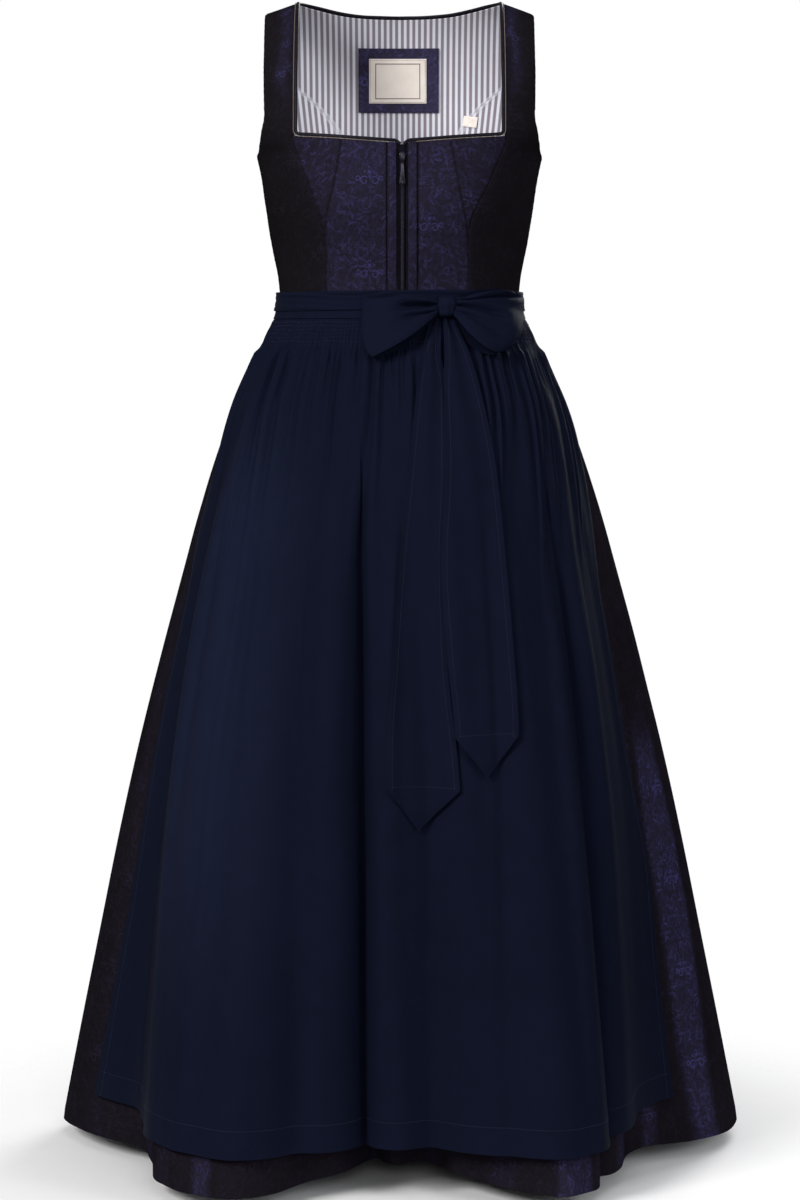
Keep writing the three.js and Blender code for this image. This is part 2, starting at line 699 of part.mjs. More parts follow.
// Skirt and apron share the same heights, so that the apron lies evenly on the skirt
const LEVELS = [GATHER_Z, -360, -376, -396, -424, -465, -525, -605, -705, -830, -970, -1110, HEM_Z];
const GATHERS = { from: -350, full: -392, fade: -430, gone: -620 };
const gatherDepth = (z) =>
  GATHER_DEPTH * ramp(GATHERS.from, GATHERS.full, z) * (1 - ramp(GATHERS.fade, GATHERS.gone, z));
const zigzag = (count) => (s) => 0.5 - 0.5 * Math.cos(2 * Math.PI * count * s);

// The height of a row at one angle: the level itself near the waist, drawn to the real hem lower down
const rowHeight = (level, hem) => level + (hem - HEM_Z) * downShare(level) ** 3;

// The cloth is gathered beyond `plainTo` degrees from the middle, where no apron hides it
function skirtWall(from, to, columns, gathers, plainTo) {
  const wave = zigzag(gathers);
  const gathered = (angle) => ramp(plainTo, plainTo + 6, Math.abs(angle));
  return clothWall({
    surface: (angle, z) => skirtPoint(angle, z),
    columns: spread(0, 1, columns),
    rows: [WAIST_Z - SEAM / 2, ...LEVELS],
    place: (s, level) => {
      const angle = mix(from, to, s);
      return [angle, rowHeight(level, skirtHemZ(angle))];
    },
    outer: (s, level) => wave(s) * gatherDepth(level) * gathered(mix(from, to, s)),
    inner: () => -WALL,
  });
}
const SKIRT_GAP = 0.1; // half the gap of a side seam at the waist, in degrees
add("skirt_front", skirtWall(-90 + SKIRT_GAP, 90 - SKIRT_GAP, 36, 18, 84), BROCADE);
add("skirt_back", skirtWall(90 + SKIRT_GAP, 270 - SKIRT_GAP, 2 * BACK_GATHERS, BACK_GATHERS, 0), BROCADE);

// The apron hangs a little off the skirt, more so towards its hem
const apronOff = (z) => 0.9 + 3.6 * downShare(z);
const apronFace = (z) => apronOff(z) + THIN + gatherDepth(z);
add(
  "apron_panel",
  clothWall({
    surface: (angle, z) => skirtPoint(angle, z, apronReach),
    columns: spread(0, 1, 2 * APRON_GATHERS),
    rows: LEVELS,
    place: (s, level) => {
      const z = level === LEVELS[0] ? level - SEAM : level;
      const angle = mix(apronLeft(z), apronRight(z), s);
      return [angle, rowHeight(z, apronHemZ(angle))];
    },
    outer: (s, level) => apronOff(level) + THIN + zigzag(APRON_GATHERS)(s) * gatherDepth(level),
    inner: (s, level) => apronOff(level),
  }),
  APRON_CLOTH,
);

// The waist, as one surface over the seam of bodice and skirt
const waistPoint = (angle, z) =>
  z > WAIST_Z ? bodicePoint(radians(angle), fallOf(z)) : skirtPoint(angle, z);
const BAND = { top: -319, off: 1.4, thick: 1.3, end: 87 };
add(
  "apron_band",
  clothWall({
    surface: waistPoint,
    columns: spread(-BAND.end, BAND.end, 30),
    rows: [BAND.top, WAIST_Z, GATHER_Z],
    place: (angle, z) => [angle, z],
    outer: () => BAND.off + BAND.thick,
    inner: () => BAND.off,
  }),
  APRON_CLOTH,
);

// The tie goes once round the waist, over the band in front and on the dress behind
const TIE = { top: -315, middle: -325, foot: -337, thick: 1.4, behind: 0.9, gap: 0.7 };
const tieOff = (angle) => {
  const overBand = BAND.off + BAND.thick + TIE.gap;
  return mix(overBand, TIE.behind, ramp(BAND.end + 2, BAND.end + 16, Math.abs(angle)));
};
add(
  "apron_tie",
  clothWall({
    surface: waistPoint,
    columns: spread(-180, 180, 60).slice(0, -1),
    rows: [TIE.top, TIE.middle, TIE.foot],
    place: (angle, z) => [angle, z],
    outer: (angle) => tieOff(angle) + TIE.thick,
    inner: (angle) => tieOff(angle),
    ring: true,
  }),
  APRON_CLOTH,
);

// What hangs in front of the apron is placed by its distance from the middle and its height
const apronPoint = (angle, z) => (z > GATHER_Z ? waistPoint(angle, z) : skirtPoint(angle, z, apronReach));
function frontAngle(x, z) {
  let [low, high] = [-75, 75];
  for (let step = 0; step < 30; step++) {
    const middle = (low + high) / 2;
    if (apronPoint(middle, z).x < x) low = middle;
    else high = middle;
  }
  return (low + high) / 2;
}
const beforeApron = (x, z, distance) => {
  const here = apronPoint(frontAngle(x, z), z);
  return here.addScaledVector(outwardAt(apronPoint, frontAngle(x, z), z), distance);
};

const KNOT = { x: 46, z: -336, halfWide: 10, halfHigh: 12, halfDeep: 8, gap: 0.5 };
const KNOT_OFF = tieOff(0) + TIE.thick + KNOT.halfDeep + KNOT.gap; // its middle, off the apron's surface
function knotGeometry() {
  const ball = new THREE.SphereGeometry(1, 12, 8);
  ball.scale(KNOT.halfWide, KNOT.halfDeep, KNOT.halfHigh);
  return ball;
}
add("bow_knot", knotGeometry(), APRON_CLOTH, (mesh) => {
  mesh.position.copy(beforeApron(KNOT.x, KNOT.z, KNOT_OFF));
  return mesh;
});

// A loop of the bow goes out from the knot in front, turns and comes back behind. `reach` is measured
// sideways, `fallEnd` is how far its middle hangs below the knot at the turn.
const LOOPS = table(
  ["name", "side", "reach", "halfEnd", "fallEnd"],
  [
    ["bow_loop_left", -1, 78, 35, 23],
    ["bow_loop_right", 1, 70, 37, 17],
  ],
);
const LOOP = { start: 5.4, halfPinch: 8, halfDeep: 9.5, endDeep: 0.75, bulge: 3.5, open: 24, thick: 1.3 };
function loopWall({ side, reach, halfEnd, fallEnd }) {
  const start = KNOT.x + side * LOOP.start;
  const point = (turn, across) => {
    const out = (1 - Math.cos(radians(turn))) / 2;
    const half = mix(LOOP.halfPinch, halfEnd, Math.sin((out * Math.PI) / 2) ** 0.8);
    const z = KNOT.z - fallEnd * out ** 1.3 + across * half;
    const deep = LOOP.halfDeep * mix(1, LOOP.endDeep, out) * Math.sin(radians(turn));
    return beforeApron(start + side * reach * out, z, KNOT_OFF + LOOP.bulge * out + deep);
  };
  const centre = point(90, 0).lerp(point(270, 0), 0.5);
  const grid = (lift) =>
    spread(-1, 1, 3).map((across) =>
      spread(LOOP.open, 360 - LOOP.open, 18).map((turn) => {
        const step = 0.05;
        const along = point(turn + step, across).sub(point(turn - step, across));
        const up = point(turn, across + step).sub(point(turn, across - step));
        const out = along.cross(up).normalize();
        const here = point(turn, across);
        if (out.dot(here.clone().sub(centre)) < 0) out.negate();
        return here.addScaledVector(out, lift);
      }),
    );
  return closedWall(grid(LOOP.thick / 2), grid(-LOOP.thick / 2));
}
LOOPS.forEach((loop) => add(loop.name, loopWall(loop), APRON_CLOTH));

// The tails hang from under the knot, the right one over the left one
const TAIL = { off: 0.8, over: 0.5 };
function tailWall(rows, off) {
  const left = curveOf(rows, "z", "left");
  const right = curveOf(rows, "z", "right");
  const levels = [rows[0], ...LEVELS.slice(1, 9).map((z) => ({ z })), ...rows.slice(-3)];
  const point = (s, z, lift) => beforeApron(mix(left(z), right(z), s), z, apronFace(z) + off + lift);
  const face = (lift) => levels.map(({ z }) => spread(0, 1, 5).map((s) => point(s, z, lift)));
  return closedWall(face(THIN), face(0));
}
add("bow_tail_left", tailWall(LEFT_TAIL, TAIL.off), APRON_CLOTH);
add("bow_tail_right", tailWall(RIGHT_TAIL, TAIL.off + THIN + TAIL.over), APRON_CLOTH);

// Labels inside the back, sewn to the lining: rectangles with their middle, half sizes and tilt, each
// with its distance from the lining
const LABELS = table(
  ["name", "x", "z", "halfWide", "halfHigh", "tilt", "depth", "look"],
  [
    ["label_patch", -1, -76, 46, 36, 0, 0.9, BROCADE],
    ["label", -2, -76, 33, 25, 0, 2.3, LABEL_CLOTH],
    ["size_tag", 81, -123, 8, 6, -8, 1, LABEL_CLOTH],
  ],
);
const LABEL_THICK = 0.8;
function labelWall({ x, z, halfWide, halfHigh, tilt, depth }) {
  const turn = radians(tilt);
  const base = LINING_OFF + THIN + depth;
  const face = (off) =>
    spread(1, -1, 3).map((v) =>
      spread(-1, 1, 5).map((u) => {
        const px = x + u * halfWide * Math.cos(turn) - v * halfHigh * Math.sin(turn);
        const pz = z + u * halfWide * Math.sin(turn) + v * halfHigh * Math.cos(turn);
        const fall = fallAt(px, pz);
        return offsetPoint(bodicePoint, Math.PI - angleAt(px, fall), fall, -off);
      }),
    );
  return closedWall(face(base), face(base + LABEL_THICK));
}
LABELS.forEach((row) => add(row.name, labelWall(row), row.look));

export default dress;
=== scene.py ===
"""A dirndl with its gathered apron, in its real cloths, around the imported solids.

Tables and surface functions are in millimetres, meshes in metres. +Z is up, the front faces -Y and +X is
on the right of somebody who looks at the front.
"""

import math

import bpy
import numpy as np
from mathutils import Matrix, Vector


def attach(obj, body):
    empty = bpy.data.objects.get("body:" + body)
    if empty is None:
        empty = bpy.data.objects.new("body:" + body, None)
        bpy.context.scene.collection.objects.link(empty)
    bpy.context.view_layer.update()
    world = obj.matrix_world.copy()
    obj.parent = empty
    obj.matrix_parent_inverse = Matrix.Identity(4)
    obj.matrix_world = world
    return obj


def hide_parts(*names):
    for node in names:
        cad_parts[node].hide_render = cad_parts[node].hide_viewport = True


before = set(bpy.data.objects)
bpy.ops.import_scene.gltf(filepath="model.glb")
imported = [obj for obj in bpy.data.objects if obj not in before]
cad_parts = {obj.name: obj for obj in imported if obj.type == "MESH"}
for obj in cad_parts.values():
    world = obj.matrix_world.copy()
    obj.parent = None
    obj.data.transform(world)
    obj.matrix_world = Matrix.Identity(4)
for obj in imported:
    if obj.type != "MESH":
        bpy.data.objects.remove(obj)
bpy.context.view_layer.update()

MM = 0.001
BODY = "dress"

# Sizes shared with the solids
SHOULDER_ARCH = 120
SHOULDER_SLOPE = 0.36
NECK_HALF = 111
NECK_CORNER_HALF = 111.5
NECK_CORNER_RADIUS = 4.5
STRAP_OUTER = 147.5
UNDERARM_Z = -168
WAIST_Z = -330
GATHER_Z = -346
HEM_Z = -1245
WALL = 1.6
THIN = 1.2
SEAM = 0.3
LAP = 0.25
PIPING_HALF = 1.9
PIPING_RISE = 1.5
BACK_PIPING_HALF = 2.8
ZIP_X = 3
ZIP_HALF = 3.7
ZIP_TOP = -157


def table(columns, rows):
    """A table with named columns, each an array."""
    return dict(zip(columns.split(), np.array(rows, float).T))


# Level sections: half the width, and the depth before and behind the middle
WIDTHS = table("z half", [
    (0, 190), (-60, 190), (-120, 180), (-140, 176), (-155, 167), (-168, 157), (-220, 148), (-269, 140),
    (-302, 133.5), (-322, 131.5), (-340, 135), (-366, 146), (-401, 162), (-437, 179), (-490, 200),
    (-556, 222), (-623, 241), (-724, 269), (-825, 295), (-927, 318), (-1029, 339), (-1131, 360),
    (-1245, 383),
])
DEPTHS = table("z front back", [
    (0, 72, 82), (-60, 90, 92), (-120, 103, 98), (-168, 112, 97), (-220, 112, 92), (-269, 103, 84),
    (-302, 95, 79), (-322, 92, 77),
])
SKIRT_TOP_Z = -322
HEM_DEPTH = {"front": 330, "back": 300}
GIRTH = 150  # millimetres of cloth to a radian round the bodice

# The large folds all round: their angles at waist and hem, and the reach of skirt and apron at the hem
FOLDS = table("waist hem skirt apron", [
    (-176, -176, 0.82, 0.82), (-163, -163, 0.93, 0.93), (-152, -152, 1.07, 1.07), (-142, -142, 1.04, 1.04),
    (-129, -129, 0.91, 0.91), (-117, -117, 0.86, 0.86), (-105, -105, 0.95, 0.95), (-93, -93, 1.0, 1.0),
    (-87, -81, 0.94, 0.94), (-79, -63, 0.86, 0.87), (-67, -47, 0.92, 0.94), (-60, -39, 1.02, 1.04),
    (-47, -28, 1.11, 1.12), (-36, -21, 1.02, 1.05), (-25, -15, 0.82, 0.92), (-14, -6, 0.67, 0.83),
    (2, 4, 0.66, 0.83), (16, 12, 0.77, 0.91), (28, 19, 0.96, 1.02), (40, 26, 1.06, 1.08),
    (52, 34, 0.98, 1.01), (62, 43, 0.88, 0.91), (73, 58, 0.81, 0.84), (81, 70, 0.9, 0.91),
    (88, 81, 0.97, 0.97), (93, 93, 1.0, 1.0), (106, 106, 0.94, 0.94), (118, 118, 0.87, 0.87),
    (131, 131, 0.94, 0.94), (143, 143, 1.07, 1.07), (153, 153, 1.08, 1.08), (164, 164, 0.94, 0.94),
    (176, 176, 0.81, 0.81),
])
APRON_EDGES = table("z left right", [
    (-346, -87, 87), (-430, -86, 85.5), (-500, -82.5, 80), (-600, -81, 74), (-650, -80.2, 72.3),
    (-790, -81, 72.5), (-970, -82, 76), (-1060, -83, 76), (-1245, -84.5, 77),
])
FRONT_SEAMS = table("z dart_left corner_left dart_right corner_right", [
    (-158, 62, 116, 55, 115), (-195, 69, 101, 62, 99), (-257, 80, 81.5, 73, 74.5), (-290, 79, 79, 75, 75),
    (-330, 79, 79, 76, 76),
])
INSET_TIP_Z = -257
BACK_SEAM = table("z x", [
    (-58, 150), (-75, 132), (-88, 114), (-110, 88), (-135, 69), (-180, 57), (-240, 51), (-330, 47),
])
LEFT_TAIL = table("z left right", [
    (-344, 34, 45), (-380, 24, 44), (-420, 18, 50), (-500, 10, 50), (-600, 0, 47), (-700, -7, 50),
    (-800, -13, 60), (-836, -13, 63),
])
RIGHT_TAIL = table("z left right", [
    (-344, 46, 58), (-380, 48, 74), (-420, 47, 86), (-500, 49, 102), (-600, 44, 112), (-700, 50, 120),
    (-768, 57, 124), (-782, 58, 124),
])
BUST = {"x": 72, "z": -212, "rise": 15, "half_wide": 46, "half_high": 52}


# Curves and surfaces

def mix(a, b, share):
    return a + (b - a) * share


def ease(share):
    return share * share * (3 - 2 * share)


def ramp(start, end, value):
    return ease(np.clip((value - start) / (end - start), 0, 1))


def bump(value, centre, width):
    """A smooth hill of height 1."""
    return np.exp(-(((value - centre) / width) ** 2))


def curve_of(rows, key, value):
    """A smooth curve through one column of a table against another, with no overshoot."""
    order = np.argsort(rows[key])
    xs, ys = rows[key][order], rows[value][order]
    widths = np.diff(xs)
    secants = np.diff(ys) / widths
    before, after = secants[:-1], secants[1:]
    same_way = before * after > 0
    total = np.where(same_way, before + after, 1)
    inner = np.where(same_way, 2 * before * after / total, 0)
    slopes = np.concatenate([secants[:1], inner, secants[-1:]])

    def curve(at):
        x = np.clip(at, xs[0], xs[-1])
        k = np.clip(np.searchsorted(xs, x, side="right") - 1, 0, len(xs) - 2)
        s = (x - xs[k]) / widths[k]
        rise = widths[k] * (slopes[k] * s * (1 - s) ** 2 - slopes[k + 1] * s * s * (1 - s))
        return mix(ys[k], ys[k + 1], ease(s)) + rise

    return curve


def round_curve_of(rows, key, value, turn=0):
    """The same for angles, so that the curve closes on itself."""
    thrice = {
        key: np.concatenate([rows[key] + 360 * k for k in (-1, 0, 1)]),
        value: np.concatenate([rows[value] + turn * k for k in (-1, 0, 1)]),
    }
    return curve_of(thrice, key, value)


half_width = curve_of(WIDTHS, "z", "half")
front_depth = curve_of(DEPTHS, "z", "front")
back_depth = curve_of(DEPTHS, "z", "back")
hem_angle = round_curve_of(FOLDS, "waist", "hem", 360)
skirt_reach = round_curve_of(FOLDS, "waist", "skirt")
apron_reach = round_curve_of(FOLDS, "waist", "apron")
apron_left = curve_of(APRON_EDGES, "z", "left")
apron_right = curve_of(APRON_EDGES, "z", "right")
back_seam = curve_of(BACK_SEAM, "z", "x")


def depth_at(z, is_front):
    narrow = half_width(SKIRT_TOP_Z)
    flare = (half_width(z) - narrow) / (half_width(HEM_Z) - narrow)
    front = mix(front_depth(SKIRT_TOP_Z), HEM_DEPTH["front"], flare)
    back = mix(back_depth(SKIRT_TOP_Z), HEM_DEPTH["back"], flare)
    skirt = np.where(is_front, front, back)
    bodice = np.where(is_front, front_depth(z), back_depth(z))
    return np.where(z >= SKIRT_TOP_Z, bodice, skirt)


def bust_rise(x, z):
    across = (np.abs(x) - BUST["x"]) / BUST["half_wide"]
    down = (z - BUST["z"]) / BUST["half_high"]
    return BUST["rise"] * np.exp(-across * across - down * down)


FALL_STEP = SHOULDER_ARCH * math.pi / 2


def fall_of(z):
    return 1 + (-SHOULDER_ARCH - z) / FALL_STEP


def level_of(fall):
    below = -SHOULDER_ARCH - (fall - 1) * FALL_STEP
    above = -SHOULDER_ARCH * (1 - np.cos(fall * math.pi / 2))
    return np.where(fall >= 1, below, above)


def bodice_point(angle, fall):
    """A place on the bodice: its angle from the front middle, and its fall from the shoulder ridge."""
    angle, fall = np.broadcast_arrays(np.asarray(angle, float), np.asarray(fall, float))
    level = level_of(fall)
    x = half_width(level) * np.sin(angle)
    arch = np.minimum(fall, 1) * math.pi / 2
    z = level + SHOULDER_SLOPE * (NECK_HALF - np.abs(x)) * np.cos(arch)
    is_front = np.cos(angle) > 0
    lobe = np.where(is_front, bust_rise(x, z) * np.cos(angle), 0)
    y = -(depth_at(level, is_front) * np.cos(angle) + lobe) * np.sin(arch)
    return np.stack([x, y, z], axis=-1)


def fall_at(x, z):
    reach = SHOULDER_ARCH + SHOULDER_SLOPE * (NECK_HALF - np.abs(x))
    arched = np.arccos(np.clip((z + SHOULDER_ARCH) / reach, -1, 1)) / (math.pi / 2)
    return np.where(z <= -SHOULDER_ARCH, fall_of(z), arched)


def angle_at(x, fall):
    return np.arcsin(np.clip(x / half_width(level_of(fall)), -1, 1))


def armhole_angle(fall):
    level = level_of(fall)
    strap = angle_at(STRAP_OUTER, np.minimum(fall, 1))
    share = np.clip((-SHOULDER_ARCH - level) / (-SHOULDER_ARCH - UNDERARM_Z), 0, 1)
    return mix(strap, math.pi / 2, 1 - np.sqrt(1 - share * share))


def front_neck_z(x):
    return -157.5 + 9.4 * np.minimum(1, np.abs(x) / NECK_CORNER_HALF)


def strap_neck_x(fall):
    return mix(NECK_HALF, NECK_CORNER_HALF, np.minimum(1, fall))


def back_neck_z(x):
    return -10 + 10 * ease(np.minimum(1, np.abs(x) / NECK_HALF) ** 2)


NECK_EDGE = PIPING_HALF + SEAM


def down_share(z):
    return np.clip((GATHER_Z - z) / (GATHER_Z - HEM_Z), 0, 1)


# Soft folds of the skirt and the apron over it: a path from a top to a foot, in heights and in degrees
# at the waist, with its width in degrees and how far it stands out (or lies in) where it is fullest
CREASES = table("top_z top foot_z foot width rise", [
    (-390, -75, -1245, -76, 3.2, -8.0),
    (-390, -66, -1245, -65, 2.8, 10.0),
    (-420, -57, -1245, -57, 4.5, 5.0),
    (-470, -46, -1245, -49, 3.2, -5.0),
    (-430, -37, -1245, -38, 4.0, 6.0),
    (-500, -28, -1245, -31, 2.8, -5.0),
    (-450, -21, -1245, -22, 3.6, 10.0),
    (-430, -13.5, -1245, -14, 2.6, -20.0),
    (-470, -5, -1245, -5, 3.4, 8.0),
    (-520, 5, -1245, 7, 3.6, -6.0),
    (-430, 16, -1245, 17, 4.0, 4.0),
    (-480, 26, -1245, 27, 2.2, -4.5),
    (-410, 34, -1245, 35, 4.4, 4.5),
    (-500, 46, -1245, 48, 2.8, 7.0),
    (-450, 52, -1245, 54, 1.8, -12.0),
    (-480, 58, -1245, 61, 3.2, 8.0),
    (-430, 68, -1245, 69, 2.4, -3.0),
    (-400, 98, -1245, 99, 3.0, 5.0),
    (-420, 107, -1245, 110, 3.0, -4.0),
    (-400, 122, -1245, 124, 3.2, 5.0),
    (-430, 136, -1245, 134, 2.8, -4.0),
    (-400, 149, -1245, 151, 3.0, 5.0),
    (-430, 161, -1245, 158, 3.0, -4.0),
    (-400, 172, -1245, 170, 3.0, 5.0),
    (-410, 187, -1245, 189, 3.0, -4.0),
    (-400, 201, -1245, 203, 3.0, 5.0),
    (-430, 213, -1245, 211, 3.0, -4.0),
    (-400, 226, -1245, 229, 3.0, 5.0),
    (-430, 241, -1245, 239, 3.0, -4.0),
    (-400, 254, -1245, 256, 3.0, 5.0),
    (-430, 264, -1245, 265, 2.6, -4.0),
])


def from_left(angle):
    """The same angle, between -90 and 270 degrees."""
    return np.mod(angle + 90, 360) - 90


def crease_relief(angle, z):
    """How far the listed folds move the cloth, outwards."""
    turned = from_left(angle)
    relief = np.zeros(np.broadcast(angle, z).shape)
    for top_z, top, foot_z, foot, width, rise in zip(*CREASES.values()):
        along = np.clip((top_z - z) / (top_z - foot_z), 0, 1)
        middle = mix(top, foot, along) + 0.9 * np.sin(along * 5 + top)
        spreading = width * mix(0.8, 1.25, along)
        relief += rise * ramp(0, 0.35, along) * bump(turned, middle, spreading)
    return relief


FOLD_START = -385


def skirt_point(waist_angle, z, reach=skirt_reach):
    """A place on the skirt: its angle round the waist, in degrees, and its height."""
    waist_angle, z = np.broadcast_arrays(np.asarray(waist_angle, float), np.asarray(z, float))
    angle = np.radians(mix(waist_angle, hem_angle(waist_angle), down_share(z) ** 0.7))
    grown = np.clip((FOLD_START - z) / (FOLD_START - HEM_Z), 0, 1) ** 1.25
    share = mix(1, reach(waist_angle), grown)
    relief = crease_relief(waist_angle, z)
    depth = depth_at(z, np.cos(angle) > 0) * share + relief
    width = half_width(z) * share + relief
    return np.stack([width * np.sin(angle), -depth * np.cos(angle), z], axis=-1)


def apron_base(waist_angle, z):
    return skirt_point(waist_angle, z, apron_reach)


def waist_point(waist_angle, z):
    waist_angle, z = np.broadcast_arrays(np.asarray(waist_angle, float), np.asarray(z, float))
    above = bodice_point(np.radians(waist_angle), fall_of(z))
    return np.where((z > WAIST_Z)[..., None], above, skirt_point(waist_angle, z))


def apron_point(waist_angle, z):
    waist_angle, z = np.broadcast_arrays(np.asarray(waist_angle, float), np.asarray(z, float))
    high = (z > GATHER_Z)[..., None]
    return np.where(high, waist_point(waist_angle, z), apron_base(waist_angle, z))


# How much higher the hems are: the skirt's where a fold lies far in, the apron's in front and at its sides
SKIRT_LIFT = {"from": 0.98, "rise": 28}
APRON_LIFT = {"front": 39, "right": 17, "left": 8}


def skirt_hem_z(waist_angle):
    return HEM_Z + SKIRT_LIFT["rise"] * np.maximum(0, SKIRT_LIFT["from"] - skirt_reach(waist_angle))


def apron_hem_z(waist_angle):
    right = APRON_LIFT["right"] * ramp(40, 80, waist_angle)
    left = APRON_LIFT["left"] * ramp(-40, -80, waist_angle)
    return HEM_Z + APRON_LIFT["front"] + right + left


CORE_Z = -200


def outward(surface, p, q):
    """The way out of a surface at each place."""
    step = 1e-3
    across = surface(p + step, q) - surface(p - step, q)
    along = surface(p, q + step) - surface(p, q - step)
    out = np.cross(across, along)
    out /= np.linalg.norm(out, axis=-1, keepdims=True) + 1e-12
    here = surface(p, q)
    core = np.zeros_like(here)
    core[..., 2] = np.minimum(here[..., 2], CORE_Z)
    inwards = np.sum(out * (here - core), axis=-1, keepdims=True) < 0
    return np.where(inwards, -out, out)


def lifted(surface, p, q, distance):
    return surface(p, q) + outward(surface, p, q) * np.asarray(distance)[..., None]


def front_angle(x, z):
    """The angle round the waist at which the apron is found at that distance from the middle."""
    low, high = np.full(np.shape(x), -75.0), np.full(np.shape(x), 75.0)
    for _ in range(26):
        middle = (low + high) / 2
        left_of = apron_point(middle, z)[..., 0] < x
        low, high = np.where(left_of, middle, low), np.where(left_of, high, middle)
    return (low + high) / 2


def before_apron(x, z, distance):
    return lifted(apron_point, front_angle(x, z), z, distance)


# Meshes

def mesh_object(name, points, faces, uv, material):
    """An object at the origin from points in millimetres, with the cloth's own coordinates as its UVs."""
    mesh = bpy.data.meshes.new(name)
    mesh.from_pydata((np.asarray(points) * MM).tolist(), [], [list(map(int, face)) for face in faces])
    if uv is not None:
        layer = mesh.uv_layers.new(name="cloth")
        corners = np.empty(len(mesh.loops), int)
        mesh.loops.foreach_get("vertex_index", corners)
        layer.data.foreach_set("uv", (np.asarray(uv)[corners] * MM).ravel())
    mesh.polygons.foreach_set("use_smooth", [True] * len(mesh.polygons))
    mesh.set_sharp_from_angle(angle=math.radians(55))
    mesh.materials.append(material)
    made = bpy.data.objects.new(name, mesh)
    bpy.context.scene.collection.objects.link(made)
    return made


def painted(piece, name, values):
    """Gives a shell an attribute from a grid of values, the same on its face and its back."""
    both = np.concatenate([np.ravel(values), np.ravel(values)])
    piece.data.attributes.new(name, "FLOAT", "POINT").data.foreach_set("value", both)
    return piece


def quads_between(a, b):
    return np.stack([a[:-1], b[:-1], b[1:], a[1:]], axis=-1).reshape(-1, 4)


def grid_quads(index):
    corners = [index[:-1, :-1], index[1:, :-1], index[1:, 1:], index[:-1, 1:]]
    return np.stack(corners, axis=-1).reshape(-1, 4)


def turned_out(points, faces):
    """The same quads, turned so that a closed mesh looks outwards."""
    a, b, c, d = (points[faces[:, k]] for k in range(4))
    volume = np.sum(a * np.cross(b, c)) + np.sum(a * np.cross(c, d))
    return faces[:, ::-1] if volume < 0 else faces


def cloth(name, outer, inner, uv, material, ring=False):
    """A closed thin shell between two grids of points, rows by columns."""
    rows, columns = outer.shape[:2]
    face = np.arange(rows * columns).reshape(rows, columns)
    back = face + rows * columns
    if ring:
        face = np.concatenate([face, face[:, :1]], axis=1)
        back = np.concatenate([back, back[:, :1]], axis=1)
    parts = [
        grid_quads(face),
        grid_quads(back)[:, ::-1],
        quads_between(back[0], face[0]),
        quads_between(face[-1], back[-1]),
    ]
    if not ring:
        parts += [quads_between(face[:, 0], back[:, 0]), quads_between(back[:, -1], face[:, -1])]
    points = np.concatenate([outer.reshape(-1, 3), inner.reshape(-1, 3)])
    faces = turned_out(points, np.concatenate(parts))
    both = np.concatenate([uv.reshape(-1, 2), uv.reshape(-1, 2)])
    return mesh_object(name, points, faces, both, material)


def wall(name, surface, p, q, outer, inner, uv, material, ring=False):
    """A cloth shell on a surface. `outer` and `inner` are how far its faces lie out from the surface."""
    p, q = np.broadcast_arrays(np.asarray(p, float), np.asarray(q, float))
    out = outward(surface, p, q)
    here = surface(p, q)
    outer = np.broadcast_to(outer, p.shape)[..., None]
    inner = np.broadcast_to(inner, p.shape)[..., None]
    return cloth(name, here + out * outer, here + out * inner, uv, material, ring)


def tube(name, rings, uv, material):
    """A closed tube through rings of points, capped at both ends."""
    count, sides = rings.shape[:2]
    index = np.arange(count * sides).reshape(count, sides)
    index = np.concatenate([index, index[:, :1]], axis=1)
    points = rings.reshape(-1, 3)
    body = turned_out(points, grid_quads(index))
    flipped = not np.array_equal(body, grid_quads(index))
    ends = [list(index[0, :-1]), list(index[-1, :-1])[::-1]]
    ends = [end[::-1] for end in ends] if flipped else ends
    return mesh_object(name, points, [*body.tolist(), *ends], uv.reshape(-1, 2), material)


def grid(rows, columns):
    """Two arrays of shares, down the rows and along the columns."""
    return np.meshgrid(rows, columns, indexing="ij")


def spread(start, end, count):
    return np.linspace(start, end, count)


def lipped(count, lip=0.02):
    """Shares from 0 to 1 with extra ones beside both ends, for an edge that turns in."""
    inner = np.linspace(lip, 1 - lip, count)
    return np.concatenate([[0, lip * 0.35, lip * 0.7], inner, [1 - lip * 0.7, 1 - lip * 0.35, 1]])


def uneven(count, seed, amount):
    """A smooth map of a share to a count of gathers whose widths differ."""
    random = np.random.default_rng(seed)
    steps = 1 + amount * random.uniform(-1, 1, count)
    places = np.concatenate([[0], np.cumsum(steps)])
    return lambda share: np.interp(share * places[-1], places, np.arange(count + 1))


GATHERS = {"uneven": 0.72, "least": 0.2, "more": 1.2, "few_deep": 1.6, "longer": (-0.8, 1.0)}


def gathers(share, z, count, seed, depth, start, full, fade, gone):
    """Uneven gathers that run down from a seam: each has its own depth and its own length."""
    random = np.random.default_rng(seed + 1)
    phase = uneven(count, seed, GATHERS["uneven"])(share)
    number = np.arange(count + 1)
    deep = GATHERS["least"] + GATHERS["more"] * random.uniform(0, 1, count + 1) ** GATHERS["few_deep"]
    own = np.interp(phase, number, deep)
    longer = np.interp(phase, number, random.uniform(*GATHERS["longer"], count + 1))
    reach = (gone - fade) * longer
    shown = ramp(start, full, z) * (1 - ramp(fade + reach * 0.5, gone + reach, z))
    return depth * own * shown * (0.5 - 0.5 * np.cos(2 * math.pi * phase)) ** 0.8


def dress_piece(piece, node, slot, body=BODY):
    """Tells the frame what a finished piece rides on and stands for; `slot`, the cloth it is cut from, is not
    used.
    """
    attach(piece, body)
    if node:
        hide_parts(node)
    return piece


# Shading

